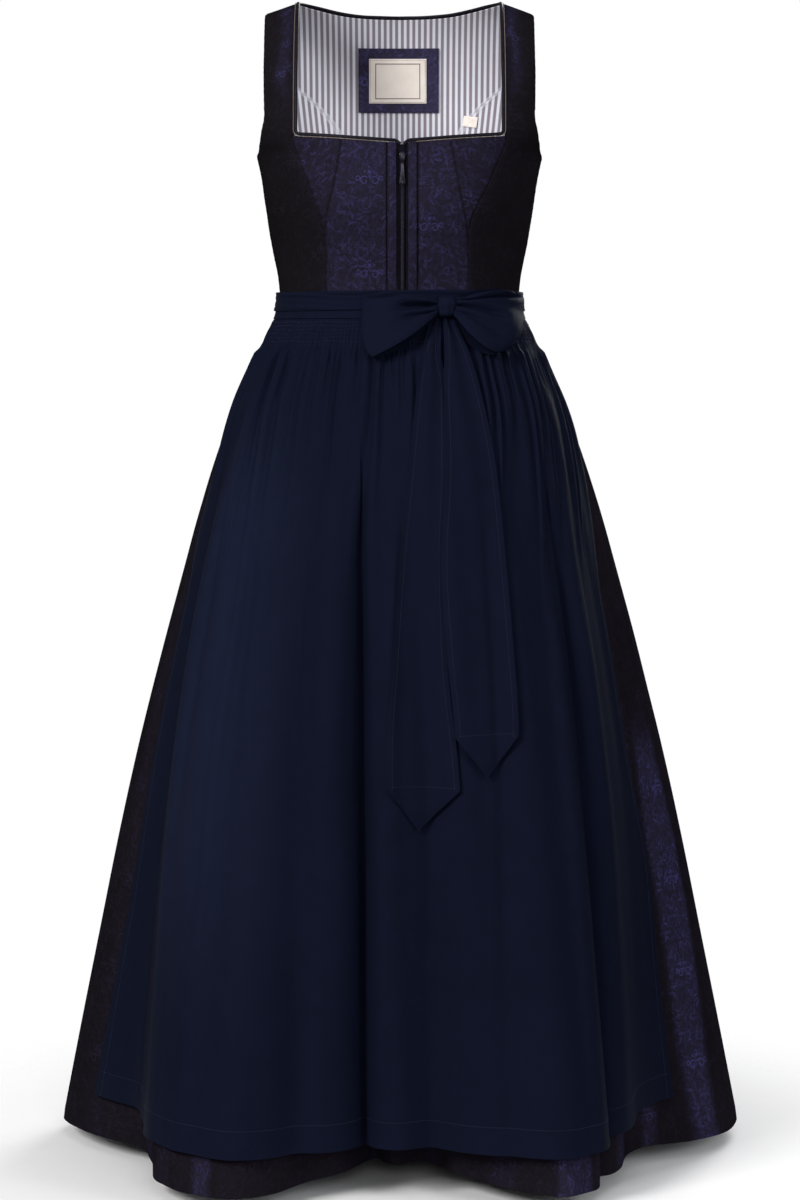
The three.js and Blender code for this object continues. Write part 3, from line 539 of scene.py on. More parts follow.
class Nodes:
    """Adds nodes to a tree in one line each."""

    def __init__(self, tree):
        self.tree = tree

    def add(self, kind, inputs=None, **settings):
        node = self.tree.nodes.new(kind)
        for name, value in settings.items():
            setattr(node, name, value)
        for name, value in (inputs or {}).items():
            socket = node.inputs[name]
            if isinstance(value, bpy.types.NodeSocket):
                self.tree.links.new(value, socket)
            else:
                socket.default_value = value
        return node

    def out(self, kind, inputs=None, **settings):
        """The first output of a new node."""
        return self.add(kind, inputs, **settings).outputs[0]

    def math(self, operation, a, b=0.0, c=0.0):
        return self.out("ShaderNodeMath", {0: a, 1: b, 2: c}, operation=operation)

    def smooth(self, value, low, high):
        """0 below `low`, 1 above `high`."""
        sockets = {"Value": value, "From Min": low, "From Max": high}
        return self.out("ShaderNodeMapRange", sockets, interpolation_type="SMOOTHSTEP")

    def scaled(self, value, low, high):
        """A value from 0 to 1, spread from `low` to `high`."""
        return self.out("ShaderNodeMapRange", {"Value": value, "To Min": low, "To Max": high})

    def blend(self, share, a, b):
        """A colour between two."""
        return self.add("ShaderNodeMix", {0: share, 6: a, 7: b}, data_type="RGBA").outputs[2]

    def noise(self, vector, scale, detail=2.0, roughness=0.5):
        sockets = {"Vector": vector, "Scale": scale, "Detail": detail, "Roughness": roughness}
        return self.add("ShaderNodeTexNoise", sockets).outputs["Fac"]

    def parts(self, vector):
        return self.add("ShaderNodeSeparateXYZ", {0: vector}).outputs

    def on_cloth(self):
        """The cloth's own coordinates, in metres."""
        return self.out("ShaderNodeUVMap", uv_map="cloth")

    def in_space(self):
        """The place on the dress, in metres."""
        return self.add("ShaderNodeTexCoord").outputs["Object"]

    def attribute(self, name):
        return self.add("ShaderNodeAttribute", attribute_name=name).outputs["Fac"]


def new_group(name, inputs, outputs):
    """An empty shader group with named inputs (name: type, default) and outputs (name: type)."""
    group = bpy.data.node_groups.new(name, "ShaderNodeTree")
    for label, (kind, default) in inputs.items():
        socket = group.interface.new_socket(name=label, in_out="INPUT", socket_type=kind)
        if default is not None:
            socket.default_value = default
    for label, kind in outputs.items():
        group.interface.new_socket(name=label, in_out="OUTPUT", socket_type=kind)
    nodes = Nodes(group)
    return group, nodes, nodes.add("NodeGroupInput").outputs, nodes.add("NodeGroupOutput").inputs


FLOAT, VECTOR = "NodeSocketFloat", "NodeSocketVector"


def weave_group():
    """Plain weave: threads that pass over and under each other, with slubs."""
    group, nodes, given, result = new_group(
        "plain weave",
        {"Vector": (VECTOR, None), "Pitch": (FLOAT, 0.001), "Slubs": (FLOAT, 0.4)},
        {"Height": FLOAT, "Shade": FLOAT},
    )
    parts = nodes.parts(given["Vector"])
    turns = nodes.math("DIVIDE", 2 * math.pi, given["Pitch"])
    warp = nodes.math("SINE", nodes.math("MULTIPLY", parts["X"], turns))
    weft = nodes.math("SINE", nodes.math("MULTIPLY", parts["Y"], turns))
    over = nodes.math("MULTIPLY", warp, weft)
    slub = nodes.math("MULTIPLY", nodes.noise(given["Vector"], 900, 1.0), given["Slubs"])
    height = nodes.math("ADD", nodes.math("MULTIPLY", over, 0.5), slub)
    links = group.links
    links.new(height, result["Height"])
    # Shade: painted shade where the threads dip under, and painted highlight where they cross over
    links.new(nodes.scaled(height, 0.88, 1.12), result["Shade"])
    return group


def wear_group():
    """Large soft differences in depth of colour, as dye and handling leave them."""
    group, nodes, given, result = new_group(
        "dye and handling", {"Vector": (VECTOR, None), "Strength": (FLOAT, 0.15)}, {"Shade": FLOAT}
    )
    broad = nodes.noise(given["Vector"], 9, 3.0, 0.6)
    fine = nodes.noise(given["Vector"], 160, 2.0)
    both = nodes.math("MULTIPLY_ADD", fine, 0.35, nodes.math("MULTIPLY", broad, 0.65))
    centred = nodes.math("MULTIPLY", nodes.math("SUBTRACT", both, 0.5), given["Strength"])
    group.links.new(nodes.math("MULTIPLY_ADD", centred, 2.0, 1.0), result["Shade"])
    return group


SPRIG = {"wide": 64, "high": 99}
LEAF = {"cell": 7.4, "long": 6.2, "wide": 1.6, "barb": 1.2}


def sprig_group():
    """A floral jacquard figure: feathery leaves, fine tendrils, and flowers over curls in a half-drop repeat.

    Vector is in metres along the cloth. Figure is 1 in the figure and 0 in the ground.
    """
    group, nodes, given, result = new_group(
        "floral figure", {"Vector": (VECTOR, None), "Waver": (FLOAT, 1.8)}, {"Figure": FLOAT}
    )
    m, smooth = nodes.math, nodes.smooth
    wavering = nodes.add("ShaderNodeTexNoise", {"Vector": given["Vector"], "Scale": 90.0, "Detail": 1.0})
    spun = nodes.parts(wavering.outputs["Color"])
    place = nodes.parts(given["Vector"])
    u = m("MULTIPLY_ADD", m("SUBTRACT", spun["X"], 0.5), given["Waver"], m("DIVIDE", place["X"], MM))
    v = m("MULTIPLY_ADD", m("SUBTRACT", spun["Y"], 0.5), given["Waver"], m("DIVIDE", place["Y"], MM))
    column = m("DIVIDE", u, SPRIG["wide"])
    dropped = m("MULTIPLY", m("FLOORED_MODULO", m("FLOOR", column), 2), SPRIG["high"] / 2)
    x = m("MULTIPLY", m("SUBTRACT", m("FLOORED_MODULO", column, 1), 0.5), SPRIG["wide"])
    row = m("FLOORED_MODULO", m("DIVIDE", m("ADD", v, dropped), SPRIG["high"]), 1)
    y = m("MULTIPLY", m("SUBTRACT", row, 0.5), SPRIG["high"])

    def apart(cx, cy):
        across, along = m("SUBTRACT", x, cx), m("SUBTRACT", y, cy)
        return m("SQRT", m("MULTIPLY_ADD", across, across, m("MULTIPLY", along, along)))

    def line(distance, thick):
        return smooth(m("ABSOLUTE", distance), thick, thick * 0.4)

    def curl(cx, cy, radius, way, start):
        """A line that winds once round its place and opens outwards."""
        turn = m("ARCTAN2", m("SUBTRACT", y, cy), m("MULTIPLY", m("SUBTRACT", x, cx), way))
        wound = m("FLOORED_MODULO", m("ADD", m("DIVIDE", turn, 2 * math.pi), start), 1)
        return line(m("SUBTRACT", apart(cx, cy), m("MULTIPLY_ADD", wound, 0.6 * radius, 0.5 * radius)), 0.75)

    petal = m("MULTIPLY_ADD", m("COSINE", m("MULTIPLY", m("ARCTAN2", m("SUBTRACT", y, 8), x), 4)), 2.2, 3.4)
    figure = m("MAXIMUM", line(m("SUBTRACT", apart(0, 8), petal), 0.75), smooth(apart(0, 8), 1.8, 1.0))
    for cx, cy, radius, start in ((5.8, -1.5, 4.2, 0.6), (12.4, 1.4, 2.6, 0.1)):
        pair = m("MAXIMUM", curl(cx, cy, radius, 1, start), curl(-cx, cy, radius, -1, start))
        figure = m("MAXIMUM", figure, pair)

    sockets = {"Vector": given["Vector"], "Scale": 1 / (LEAF["cell"] * MM)}
    cells = nodes.add("ShaderNodeTexVoronoi", sockets, voronoi_dimensions="2D").outputs
    sockets = {0: given["Vector"], 1: cells["Position"]}
    offset = nodes.out("ShaderNodeVectorMath", sockets, operation="SUBTRACT")
    drawn = nodes.add("ShaderNodeSeparateColor", {0: cells["Color"]}).outputs
    sockets = {"Vector": offset, "Angle": m("MULTIPLY", drawn[0], 2 * math.pi)}
    turned = nodes.out("ShaderNodeVectorRotate", sockets, rotation_type="Z_AXIS")
    local = nodes.parts(turned)
    along = m("DIVIDE", local["X"], MM)
    bent = m("MULTIPLY", m("MULTIPLY", along, along), 0.06)
    across = m("ABSOLUTE", m("ADD", m("DIVIDE", local["Y"], MM), bent))
    share = m("DIVIDE", along, LEAF["long"])
    half_wide = m("MULTIPLY", m("SUBTRACT", 1.0, m("MULTIPLY", share, share)), LEAF["wide"])
    room = m("SUBTRACT", half_wide, across)
    slanted = m("SUBTRACT", along, m("MULTIPLY", across, 1.4))
    barbs = m("SINE", m("MULTIPLY", slanted, 2 * math.pi / LEAF["barb"]))
    leaf = m("MULTIPLY", smooth(room, -0.1, 0.5), smooth(barbs, -0.7, 0.6))
    leaf = m("MULTIPLY", leaf, nodes.scaled(drawn[1], 0.25, 1.0))

    tangle = nodes.noise(given["Vector"], 160, 1.0)
    lines = m("ABSOLUTE", m("SUBTRACT", m("FLOORED_MODULO", m("MULTIPLY", tangle, 6), 1), 0.5))
    tendrils = m("MULTIPLY", smooth(lines, 0.14, 0.05), 0.5)
    patches = smooth(nodes.noise(given["Vector"], 60), 0.36, 0.6)
    ground_work = m("MULTIPLY", m("MAXIMUM", leaf, tendrils), nodes.scaled(patches, 0.3, 1.0))
    group.links.new(m("MAXIMUM", m("MULTIPLY", figure, 0.85), ground_work), result["Figure"])
    return group


WEAVE = weave_group()
WEAR = wear_group()
FIGURE = sprig_group()


def blank_material(name):
    """A material with only its output, and a helper for its nodes."""
    material = bpy.data.materials.new(name)
    material.use_nodes = True
    material.node_tree.nodes.clear()
    return material, Nodes(material.node_tree)


def finish_material(nodes, surface, color, roughness, height, depth):
    """Puts the Principled surface together. `surface` holds its constant sockets."""
    raised = nodes.add("ShaderNodeBump", {"Height": height, "Strength": 1.0, "Distance": depth})
    sockets = {"Base Color": color, "Roughness": roughness, "Normal": raised.outputs[0], **surface}
    shader = nodes.add("ShaderNodeBsdfPrincipled", sockets)
    nodes.add("ShaderNodeOutputMaterial", {"Surface": shader.outputs[0]})


def times(nodes, color, shade):
    """A colour made lighter or darker by a shade around 1, or a vector made longer or shorter."""
    return nodes.out("ShaderNodeVectorMath", {0: color, 3: shade}, operation="SCALE")


def rgb(red, green, blue):
    """A colour as it is seen, 0 to 255, for a shader's socket."""
    def linear(value):
        share = value / 255
        return share / 12.92 if share <= 0.04045 else ((share + 0.055) / 1.055) ** 2.4

    return (linear(red), linear(green), linear(blue), 1)


def grouped(nodes, group, **inputs):
    """A placed shader group with its inputs, named with spaces for underscores."""
    placed = {label.replace("_", " "): value for label, value in inputs.items()}
    return nodes.add("ShaderNodeGroup", placed, node_tree=group).outputs


WEAVE_RELIEF = 0.12
TWIST_PITCH = 0.9


def plain_cloth(name, color, dark, pitch=1.0, roughness=0.8, gloss=0.06):
    """A matt plain-woven cloth between two near colours, with a painted sheen: brighter where its painted
    sheen attribute is 1.
    """
    material, nodes = blank_material(name)
    where = nodes.on_cloth()
    place = nodes.in_space()
    woven = grouped(nodes, WEAVE, Vector=where, Pitch=pitch * MM)
    worn = grouped(nodes, WEAR, Vector=place)
    painted_sheen = nodes.attribute("painted_sheen")
    base = nodes.blend(nodes.noise(where, 40, 2.0), dark, color)
    # Painted sheen: up to 1.65 times brighter where the attribute is 1
    lit = nodes.math("MULTIPLY", worn["Shade"], nodes.scaled(painted_sheen, 1.0, 1.65))
    shade = nodes.math("MULTIPLY", lit, woven["Shade"])
    surface = {"Specular IOR Level": gloss, "Specular Tint": (0.35, 0.5, 1.0, 1.0)}
    rough = nodes.scaled(woven["Height"], roughness, roughness - 0.08)
    finish_material(nodes, surface, times(nodes, base, shade), rough, woven["Height"], WEAVE_RELIEF * MM)
    return material


# The ground's colour and the figure's, without painted sheen and with full painted sheen, as where the satin
# faces away from the light and towards it
BROCADE_WITHOUT_SHEEN = (rgb(23, 20, 24), rgb(31, 28, 35))
BROCADE_PAINTED_SHEEN = (rgb(37, 34, 49), rgb(68, 64, 116))


def brocade(name, sheen_colors=BROCADE_PAINTED_SHEEN):
    """The dress cloth: a satin ground with a floral figure woven in.

    Its colour holds a painted sheen: violet where the painted sheen attribute is 1, as if its satin faced the
    light, and brown-black where it is 0.
    """
    material, nodes = blank_material(name)
    where = nodes.on_cloth()
    place = nodes.in_space()
    painted_sheen = nodes.attribute("painted_sheen")
    figured = grouped(nodes, FIGURE, Vector=where)["Figure"]
    woven = grouped(nodes, WEAVE, Vector=where, Pitch=0.7 * MM)
    worn = grouped(nodes, WEAR, Vector=place, Strength=0.35)
    fleck = nodes.scaled(nodes.noise(where, 1100, 2.0), 0.7, 1.3)
    shade = nodes.math("MULTIPLY", nodes.math("MULTIPLY", worn["Shade"], woven["Shade"]), fleck)
    # Painted sheen, made patchy, from the painted attribute
    patchy_sheen = nodes.math("MULTIPLY", painted_sheen, nodes.scaled(nodes.noise(place, 55, 2.0), 0.55, 1.35))
    color = nodes.blend(patchy_sheen, nodes.blend(figured, *BROCADE_WITHOUT_SHEEN), nodes.blend(figured, *sheen_colors))
    surface = {"Specular IOR Level": 0.0}
    rough = nodes.scaled(figured, 0.55, 0.66)
    raised = nodes.math("MULTIPLY_ADD", woven["Height"], 0.3, figured)
    finish_material(nodes, surface, times(nodes, color, shade), rough, raised, 0.1 * MM)
    return material


STRIPE = 6.4


def striped_lining(name):
    """Woven stripes, straight between the two curved seams and slanted beyond them."""
    material, nodes = blank_material(name)
    m = nodes.math
    place = nodes.in_space()
    where = nodes.on_cloth()
    beyond = nodes.attribute("beyond_seam")
    parts = nodes.parts(place)
    side = m("ABSOLUTE", parts["X"])
    slanted = m("MULTIPLY_ADD", parts["Z"], -0.1, side)
    across = m("ADD", m("MULTIPLY", parts["X"], m("LESS_THAN", beyond, 0)),
               m("MULTIPLY", slanted, m("GREATER_THAN", beyond, 0)))
    wave = m("COSINE", m("MULTIPLY", across, 2 * math.pi / (STRIPE * MM)))
    striped = nodes.smooth(wave, -0.35, 0.45)
    woven = grouped(nodes, WEAVE, Vector=where, Pitch=0.8 * MM)
    worn = grouped(nodes, WEAR, Vector=place, Strength=0.1)
    allowance = nodes.smooth(m("ABSOLUTE", beyond), 4.5 * MM, 3.5 * MM)
    base = nodes.blend(striped, rgb(138, 129, 138), rgb(222, 223, 234))
    light = nodes.blend(m("MULTIPLY", allowance, 0.45), base, rgb(218, 216, 226))
    shade = m("MULTIPLY", worn["Shade"], woven["Shade"])
    stitched = nodes.smooth(m("ABSOLUTE", beyond), 0.9 * MM, 0.3 * MM)
    raised = m("SUBTRACT", m("MULTIPLY_ADD", woven["Height"], 0.15, allowance), m("MULTIPLY", stitched, 1.5))
    surface = {"Specular IOR Level": 0.15}
    finish_material(nodes, surface, times(nodes, light, shade), 0.85, raised, 0.3 * MM)
    return material


def satin(name, color, light, gloss):
    """Smooth bias-cut satin with fine slanting creases."""
    material, nodes = blank_material(name)
    where = nodes.on_cloth()
    place = nodes.in_space()
    slant = nodes.add("ShaderNodeMapping", {"Vector": where, "Rotation": (0, 0, 0.8), "Scale": (1, 0.25, 1)})
    creased = nodes.noise(slant.outputs[0], 420, 2.0)
    worn = grouped(nodes, WEAR, Vector=place, Strength=0.25)
    # The lighter colour on the creases' ridges is a painted highlight
    base = times(nodes, nodes.blend(nodes.smooth(creased, 0.35, 0.75), color, light), worn["Shade"])
    surface = {"Specular IOR Level": gloss}
    finish_material(nodes, surface, base, nodes.scaled(creased, 0.4, 0.5), creased, 0.5 * MM)
    return material


def thread(name, color, gloss=0.2, metalness=0.0, roughness=0.6):
    """Twisted thread or metallic cord."""
    material, nodes = blank_material(name)
    place = nodes.in_space()
    sockets = {"Vector": place, "Scale": 1 / (TWIST_PITCH * MM * 6), "Distortion": 1.5}
    twist = nodes.add("ShaderNodeTexWave", sockets, bands_direction="DIAGONAL").outputs["Fac"]
    # Painted shade in the twist's grooves and painted highlight on its ridges
    shade = nodes.scaled(twist, 0.75, 1.15)
    surface = {"Specular IOR Level": gloss, "Metallic": metalness}
    rough = nodes.scaled(twist, roughness, roughness - 0.15)
    base = nodes.out("ShaderNodeRGB")
    base.default_value = color
    finish_material(nodes, surface, times(nodes, base, shade), rough, twist, 0.2 * MM)
    return material


def woven_label(name, frame_half=None):
    """A fine cream label, with at most a thin plain line frame. `frame_half` is half its width and height."""
    material, nodes = blank_material(name)
    m = nodes.math
    where = nodes.on_cloth()
    woven = grouped(nodes, WEAVE, Vector=where, Pitch=0.6 * MM)
    worn = grouped(nodes, WEAR, Vector=nodes.in_space(), Strength=0.08)
    cream = nodes.blend(nodes.noise(where, 60), rgb(236, 225, 216), rgb(248, 238, 230))
    base = times(nodes, cream, worn["Shade"])
    if frame_half:
        parts = nodes.parts(where)
        sideways = m("SUBTRACT", m("ABSOLUTE", parts["X"]), frame_half[0] * MM)
        upwards = m("SUBTRACT", m("ABSOLUTE", parts["Y"]), frame_half[1] * MM)
        from_frame = m("ABSOLUTE", m("MAXIMUM", sideways, upwards))
        base = nodes.blend(nodes.smooth(from_frame, 0.75 * MM, 0.35 * MM), base, rgb(122, 108, 104))
    surface = {"Specular IOR Level": 0.2}
    finish_material(nodes, surface, base, 0.7, woven["Height"], 0.12 * MM)
    return material


def dark_metal(name, color, roughness):
    """Dark plated metal, rubbed bright where it is handled."""
    material, nodes = blank_material(name)
    place = nodes.in_space()
    rubbed = nodes.noise(place, 700, 3.0)
    worn = grouped(nodes, WEAR, Vector=place, Strength=0.3)
    bright = nodes.blend(nodes.smooth(rubbed, 0.62, 0.85), color, rgb(150, 146, 160))
    base = times(nodes, bright, worn["Shade"])
    rough = nodes.scaled(rubbed, roughness, roughness - 0.12)
    finish_material(nodes, {"Metallic": 1.0}, base, rough, rubbed, 0.05 * MM)
    return material


BROCADE = brocade("brocade")
# The patch's brocade is a brighter copy: stronger painted sheen that makes up for the shade inside the bodice
BRIGHTENED_PATCH_BROCADE = brocade("patch brocade with brighter sheen", sheen_colors=(rgb(52, 48, 68), rgb(84, 80, 132)))
NAVY = plain_cloth("apron cloth", rgb(17, 21, 37), rgb(15, 18, 32), roughness=0.5, gloss=0.016)
LINING = striped_lining("striped lining")
PIPING = satin("piping satin", rgb(15, 14, 20), rgb(30, 28, 38), gloss=0.08)
BRONZE = thread("bronze cord", rgb(136, 122, 110), metalness=0.2)
NAVY_THREAD = thread("navy thread", rgb(32, 39, 61))
SHIRRING_THREAD = thread("shirring thread", rgb(46, 48, 76))
DARK_THREAD = thread("dark thread", rgb(34, 32, 50))
LABEL_CLOTH = woven_label("label cloth", frame_half=(25.5, 19.5))
TAG_CLOTH = woven_label("size tag cloth")
ZIP_TAPE = plain_cloth("zip tape", rgb(20, 18, 26), rgb(16, 15, 21), pitch=0.8)
ZIP_METAL = dark_metal("zip metal", rgb(50, 48, 57), 0.34)
COIL_PLASTIC = thread("zip coil", rgb(38, 35, 46), gloss=0.5, roughness=0.45)


# Geometry Nodes

def new_maker(name, inputs):
    """An empty Geometry Nodes tree with a geometry in and out, and named inputs."""
    tree = bpy.data.node_groups.new(name, "GeometryNodeTree")
    tree.interface.new_socket(name="Geometry", in_out="INPUT", socket_type="NodeSocketGeometry")
    for label, kind, default in inputs:
        socket = tree.interface.new_socket(name=label, in_out="INPUT", socket_type=kind)
        if default is not None:
            socket.default_value = default
    tree.interface.new_socket(name="Geometry", in_out="OUTPUT", socket_type="NodeSocketGeometry")
    nodes = Nodes(tree)
    return tree, nodes, nodes.add("NodeGroupInput").outputs, nodes.add("NodeGroupOutput").inputs


MATERIAL_INPUT = ("Material", "NodeSocketMaterial", None)


def stitch_maker():
    """Short raised stitches along a path, one after the other, a little uneven."""
    tree, nodes, given, result = new_maker("stitches along a path", [
        ("Step", FLOAT, 0.003), ("Length", FLOAT, 0.0022), ("Radius", FLOAT, 0.00028),
        ("Seed", "NodeSocketInt", 1), MATERIAL_INPUT,
    ])
    line = nodes.out("GeometryNodeMeshToCurve", {"Mesh": given["Geometry"]})
    points = nodes.out("GeometryNodeResampleCurve", {"Curve": line, "Length": given["Step"]}, mode="LENGTH")
    body = nodes.out("GeometryNodeMeshUVSphere", {"Segments": 6, "Rings": 4, "Radius": 1.0})
    tangent = nodes.out("GeometryNodeInputTangent")
    turned = nodes.out("FunctionNodeAlignRotationToVector", {"Vector": tangent}, axis="X")
    seeded = {"Min": 0.9, "Max": 1.1, "Seed": given["Seed"]}
    uneven_length = nodes.add("FunctionNodeRandomValue", seeded, data_type="FLOAT").outputs[1]
    half = nodes.math("MULTIPLY", nodes.math("MULTIPLY", given["Length"], 0.5), uneven_length)
    size = nodes.out("ShaderNodeCombineXYZ", {"X": half, "Y": given["Radius"], "Z": given["Radius"]})
    sockets = {"Points": points, "Instance": body, "Rotation": turned, "Scale": size}
    placed = nodes.out("GeometryNodeInstanceOnPoints", sockets)
    real = nodes.out("GeometryNodeRealizeInstances", {"Geometry": placed})
    smooth = nodes.out("GeometryNodeSetShadeSmooth", {"Geometry": real})
    dyed = nodes.out("GeometryNodeSetMaterial", {"Geometry": smooth, "Material": given["Material"]})
    tree.links.new(dyed, result["Geometry"])
    return tree


def zigzag_maker():
    """A round cord that zigzags along a path. The path's points carry the way to its side as `sideways`."""
    tree, nodes, given, result = new_maker("zigzag cord along a path", [
        ("Step", FLOAT, 0.0018), ("Swing", FLOAT, 0.0008), ("Radius", FLOAT, 0.0004), MATERIAL_INPUT,
    ])
    line = nodes.out("GeometryNodeMeshToCurve", {"Mesh": given["Geometry"]})
    points = nodes.out("GeometryNodeResampleCurve", {"Curve": line, "Length": given["Step"]}, mode="LENGTH")
    index = nodes.out("GeometryNodeInputIndex")
    turn = nodes.math("MULTIPLY_ADD", nodes.math("FLOORED_MODULO", index, 2), 2, -1)
    way = nodes.out("GeometryNodeInputNamedAttribute", {"Name": "sideways"}, data_type="FLOAT_VECTOR")
    swung = times(nodes, way, nodes.math("MULTIPLY", turn, given["Swing"]))
    moved = nodes.out("GeometryNodeSetPosition", {"Geometry": points, "Offset": swung})
    section = nodes.out("GeometryNodeCurvePrimitiveCircle", {"Resolution": 6, "Radius": given["Radius"]})
    sockets = {"Curve": moved, "Profile Curve": section, "Fill Caps": True}
    cord = nodes.out("GeometryNodeCurveToMesh", sockets)
    smooth = nodes.out("GeometryNodeSetShadeSmooth", {"Geometry": cord})
    dyed = nodes.out("GeometryNodeSetMaterial", {"Geometry": smooth, "Material": given["Material"]})
    real = nodes.out("GeometryNodeRealizeInstances", {"Geometry": dyed})
    tree.links.new(real, result["Geometry"])
    return tree


STITCHES = stitch_maker()
ZIGZAG = zigzag_maker()


def made_along(name, maker, paths, material, sideways=None, **sizes):
    """Runs a maker along paths, each an array of points in millimetres, and keeps the result as a mesh."""
    points = np.concatenate(paths)
    starts = np.cumsum([0] + [len(path) for path in paths[:-1]])
    edges = [(start + k, start + k + 1) for start, path in zip(starts, paths) for k in range(len(path) - 1)]
    mesh = bpy.data.meshes.new(name + "_path")
    mesh.from_pydata((points * MM).tolist(), [(int(a), int(b)) for a, b in edges], [])
    if sideways is not None:
        ways = mesh.attributes.new("sideways", "FLOAT_VECTOR", "POINT")
        ways.data.foreach_set("vector", np.concatenate(sideways).ravel())
    source = bpy.data.objects.new(name + "_path", mesh)
    bpy.context.scene.collection.objects.link(source)
    modifier = source.modifiers.new("maker", "NODES")
    modifier.node_group = maker
    values = {"Material": material, **sizes}
    for socket in maker.interface.items_tree:
        if socket.in_out == "INPUT" and socket.name in values:
            modifier[socket.identifier] = values[socket.name]
    evaluated = source.evaluated_get(bpy.context.evaluated_depsgraph_get())
    made = bpy.data.objects.new(name, bpy.data.meshes.new_from_object(evaluated))
    bpy.context.scene.collection.objects.link(made)
    bpy.data.objects.remove(source)
    bpy.data.meshes.remove(mesh)
    return made


def stitched(name, paths, material, slot, step, length, radius):
    """A piece of stitches along paths, with their sizes in millimetres."""
    sizes = {"Step": step * MM, "Length": length * MM, "Radius": radius * MM}
    return dress_piece(made_along(name, STITCHES, paths, material, **sizes), None, slot)


# Bodice

SIDES = {-1: "left", 1: "right"}
FOOT_Z = WAIST_Z + SEAM / 2
RIDGE_FALL = 0.0002  # where the cloth starts beside the shoulder's ridge
SIDE_LAP = 0.0012  # how far front and back reach over the side seam, in radians
# How bright the painted sheen of each bodice panel is, where 1 is the full painted sheen of the satin
PAINTED_SHEEN = {"centre": 0.64, "inset": 0.46, "strap": 0.42, "side": 0.08, "back": 0.6, "back_side": 0.2}
TUCK = {"near": 6, "far": 15.5, "rise": 1.6, "crown": 0.5, "groove": 0.9}


def turned_edge(distance, width=1.3, depth=0.9):
    """How far a sewn edge turns in, by the distance from it."""
    return -depth * np.exp(-((distance / width) ** 2))


PUCKER_REACH = 9


def puckers(along, distance, seed, height=0.28):
    """Small pulls beside a seam."""
    wave = np.sin(along * 2 * math.pi / 8.5 + 1.6 * np.sin(along / 11 + seed) + seed)
    return height * wave * np.exp(-distance / PUCKER_REACH)


def soft_creases(u, v, seed, height):
    """Shallow slanting unevenness of worn cloth."""
    slow = np.sin(u / 23 + v / 31 + seed) * np.sin(v / 19 - u / 41 + 2 * seed)
    fine = np.sin(u / 9 + v / 14 + 3 * seed) * np.sin(v / 8 + seed)
    return height * (0.7 * slow + 0.3 * fine)


def tuck(from_zip, z):
    """The stitched-down fold beside the zip, which runs flat into the waist."""
    near, far = TUCK["near"], TUCK["far"]
    raised = np.minimum(ramp(near, near + 0.8, from_zip), ramp(far + 0.5, far - 0.4, from_zip))
    crown = TUCK["crown"] * np.sin(math.pi * np.clip((from_zip - near) / (far - near), 0, 1))
    grooves = TUCK["groove"] * (bump(from_zip, near - 0.5, 0.6) + bump(from_zip, far + 0.9, 0.6))
    return (TUCK["rise"] * raised + crown) * ramp(-322, -290, z) - grooves


def bodice_wall(name, angle, fall, outer, uv):
    return wall(name, bodice_point, angle, fall, outer, -WALL, uv, BROCADE)


def front_centre(side):
    word = SIDES[side]
    dart = curve_of(FRONT_SEAMS, "z", "dart_" + word)
    zip_edge = side * ZIP_X + ZIP_HALF + SEAM
    shares = np.concatenate([spread(0, 0.24, 44), mix(0.24, 1, lipped(34))[1:]])
    t, s = grid(lipped(76, 0.01), shares)
    top = front_neck_z(mix(zip_edge, dart(ZIP_TOP), s)) - NECK_EDGE
    z = mix(top, FOOT_Z, t)
    x = mix(zip_edge, dart(z) + LAP, s)
    to_seam = dart(z) - x
    from_zip = x - side * ZIP_X
    outer = tuck(from_zip, z) + turned_edge(to_seam) + turned_edge(x - zip_edge, 0.8, 0.6)
    outer = outer + puckers(z, to_seam, side) + soft_creases(x, z, side, 0.35)
    fall = fall_of(z)
    angle = side * angle_at(x, fall)
    piece = bodice_wall("front_centre_cloth_" + word, angle, fall, outer, np.stack([side * x, z], -1))
    # Painted sheen on the centre panel, with painted shade beside the zip, in the tuck's far groove and at
    # the seam
    beside_zip = 1 - ramp(TUCK["near"] - 0.2, TUCK["near"] + 0.8, from_zip)
    shaded_grooves = np.maximum(beside_zip, bump(from_zip, TUCK["far"] + 1.2, 1.4))
    painted(piece, "painted_sheen", PAINTED_SHEEN["centre"] * (1 - 0.9 * shaded_grooves) * (1 - 0.5 * bump(to_seam, 0, 2)))
    return dress_piece(piece, "front_centre_" + word, "brocade")


def front_inset(side):
    word = SIDES[side]
    dart = curve_of(FRONT_SEAMS, "z", "dart_" + word)
    corner = curve_of(FRONT_SEAMS, "z", "corner_" + word)
    t, s = grid(lipped(50, 0.01), lipped(26, 0.03))
    top = front_neck_z(mix(dart(ZIP_TOP), corner(ZIP_TOP), s)) - NECK_EDGE
    z = mix(top, INSET_TIP_Z, t)
    x = mix(dart(z) - LAP, corner(z) + LAP, s)
    near, far = x - dart(z), corner(z) - x
    outer = turned_edge(near) + turned_edge(far) + puckers(z, near, side + 2) + puckers(z, far, side + 5)
    uv = np.stack([side * x + 20, z * 0.97 + 0.25 * x], -1)
    fall = fall_of(z)
    piece = bodice_wall("front_inset_cloth_" + word, side * angle_at(x, fall), fall, outer, uv)
    # Painted sheen on the inset, fading at both seams
    painted(piece, "painted_sheen", PAINTED_SHEEN["inset"] * ramp(0, 2, near) * ramp(-1, 5, far))
    return dress_piece(piece, "front_inset_" + word, "brocade")


def side_edge(fall):
    """The outer edge of a side panel: the armhole, and the side seam below it."""
    return armhole_angle(fall) - np.where(level_of(fall) < UNDERARM_Z + 8, -SIDE_LAP, 0)


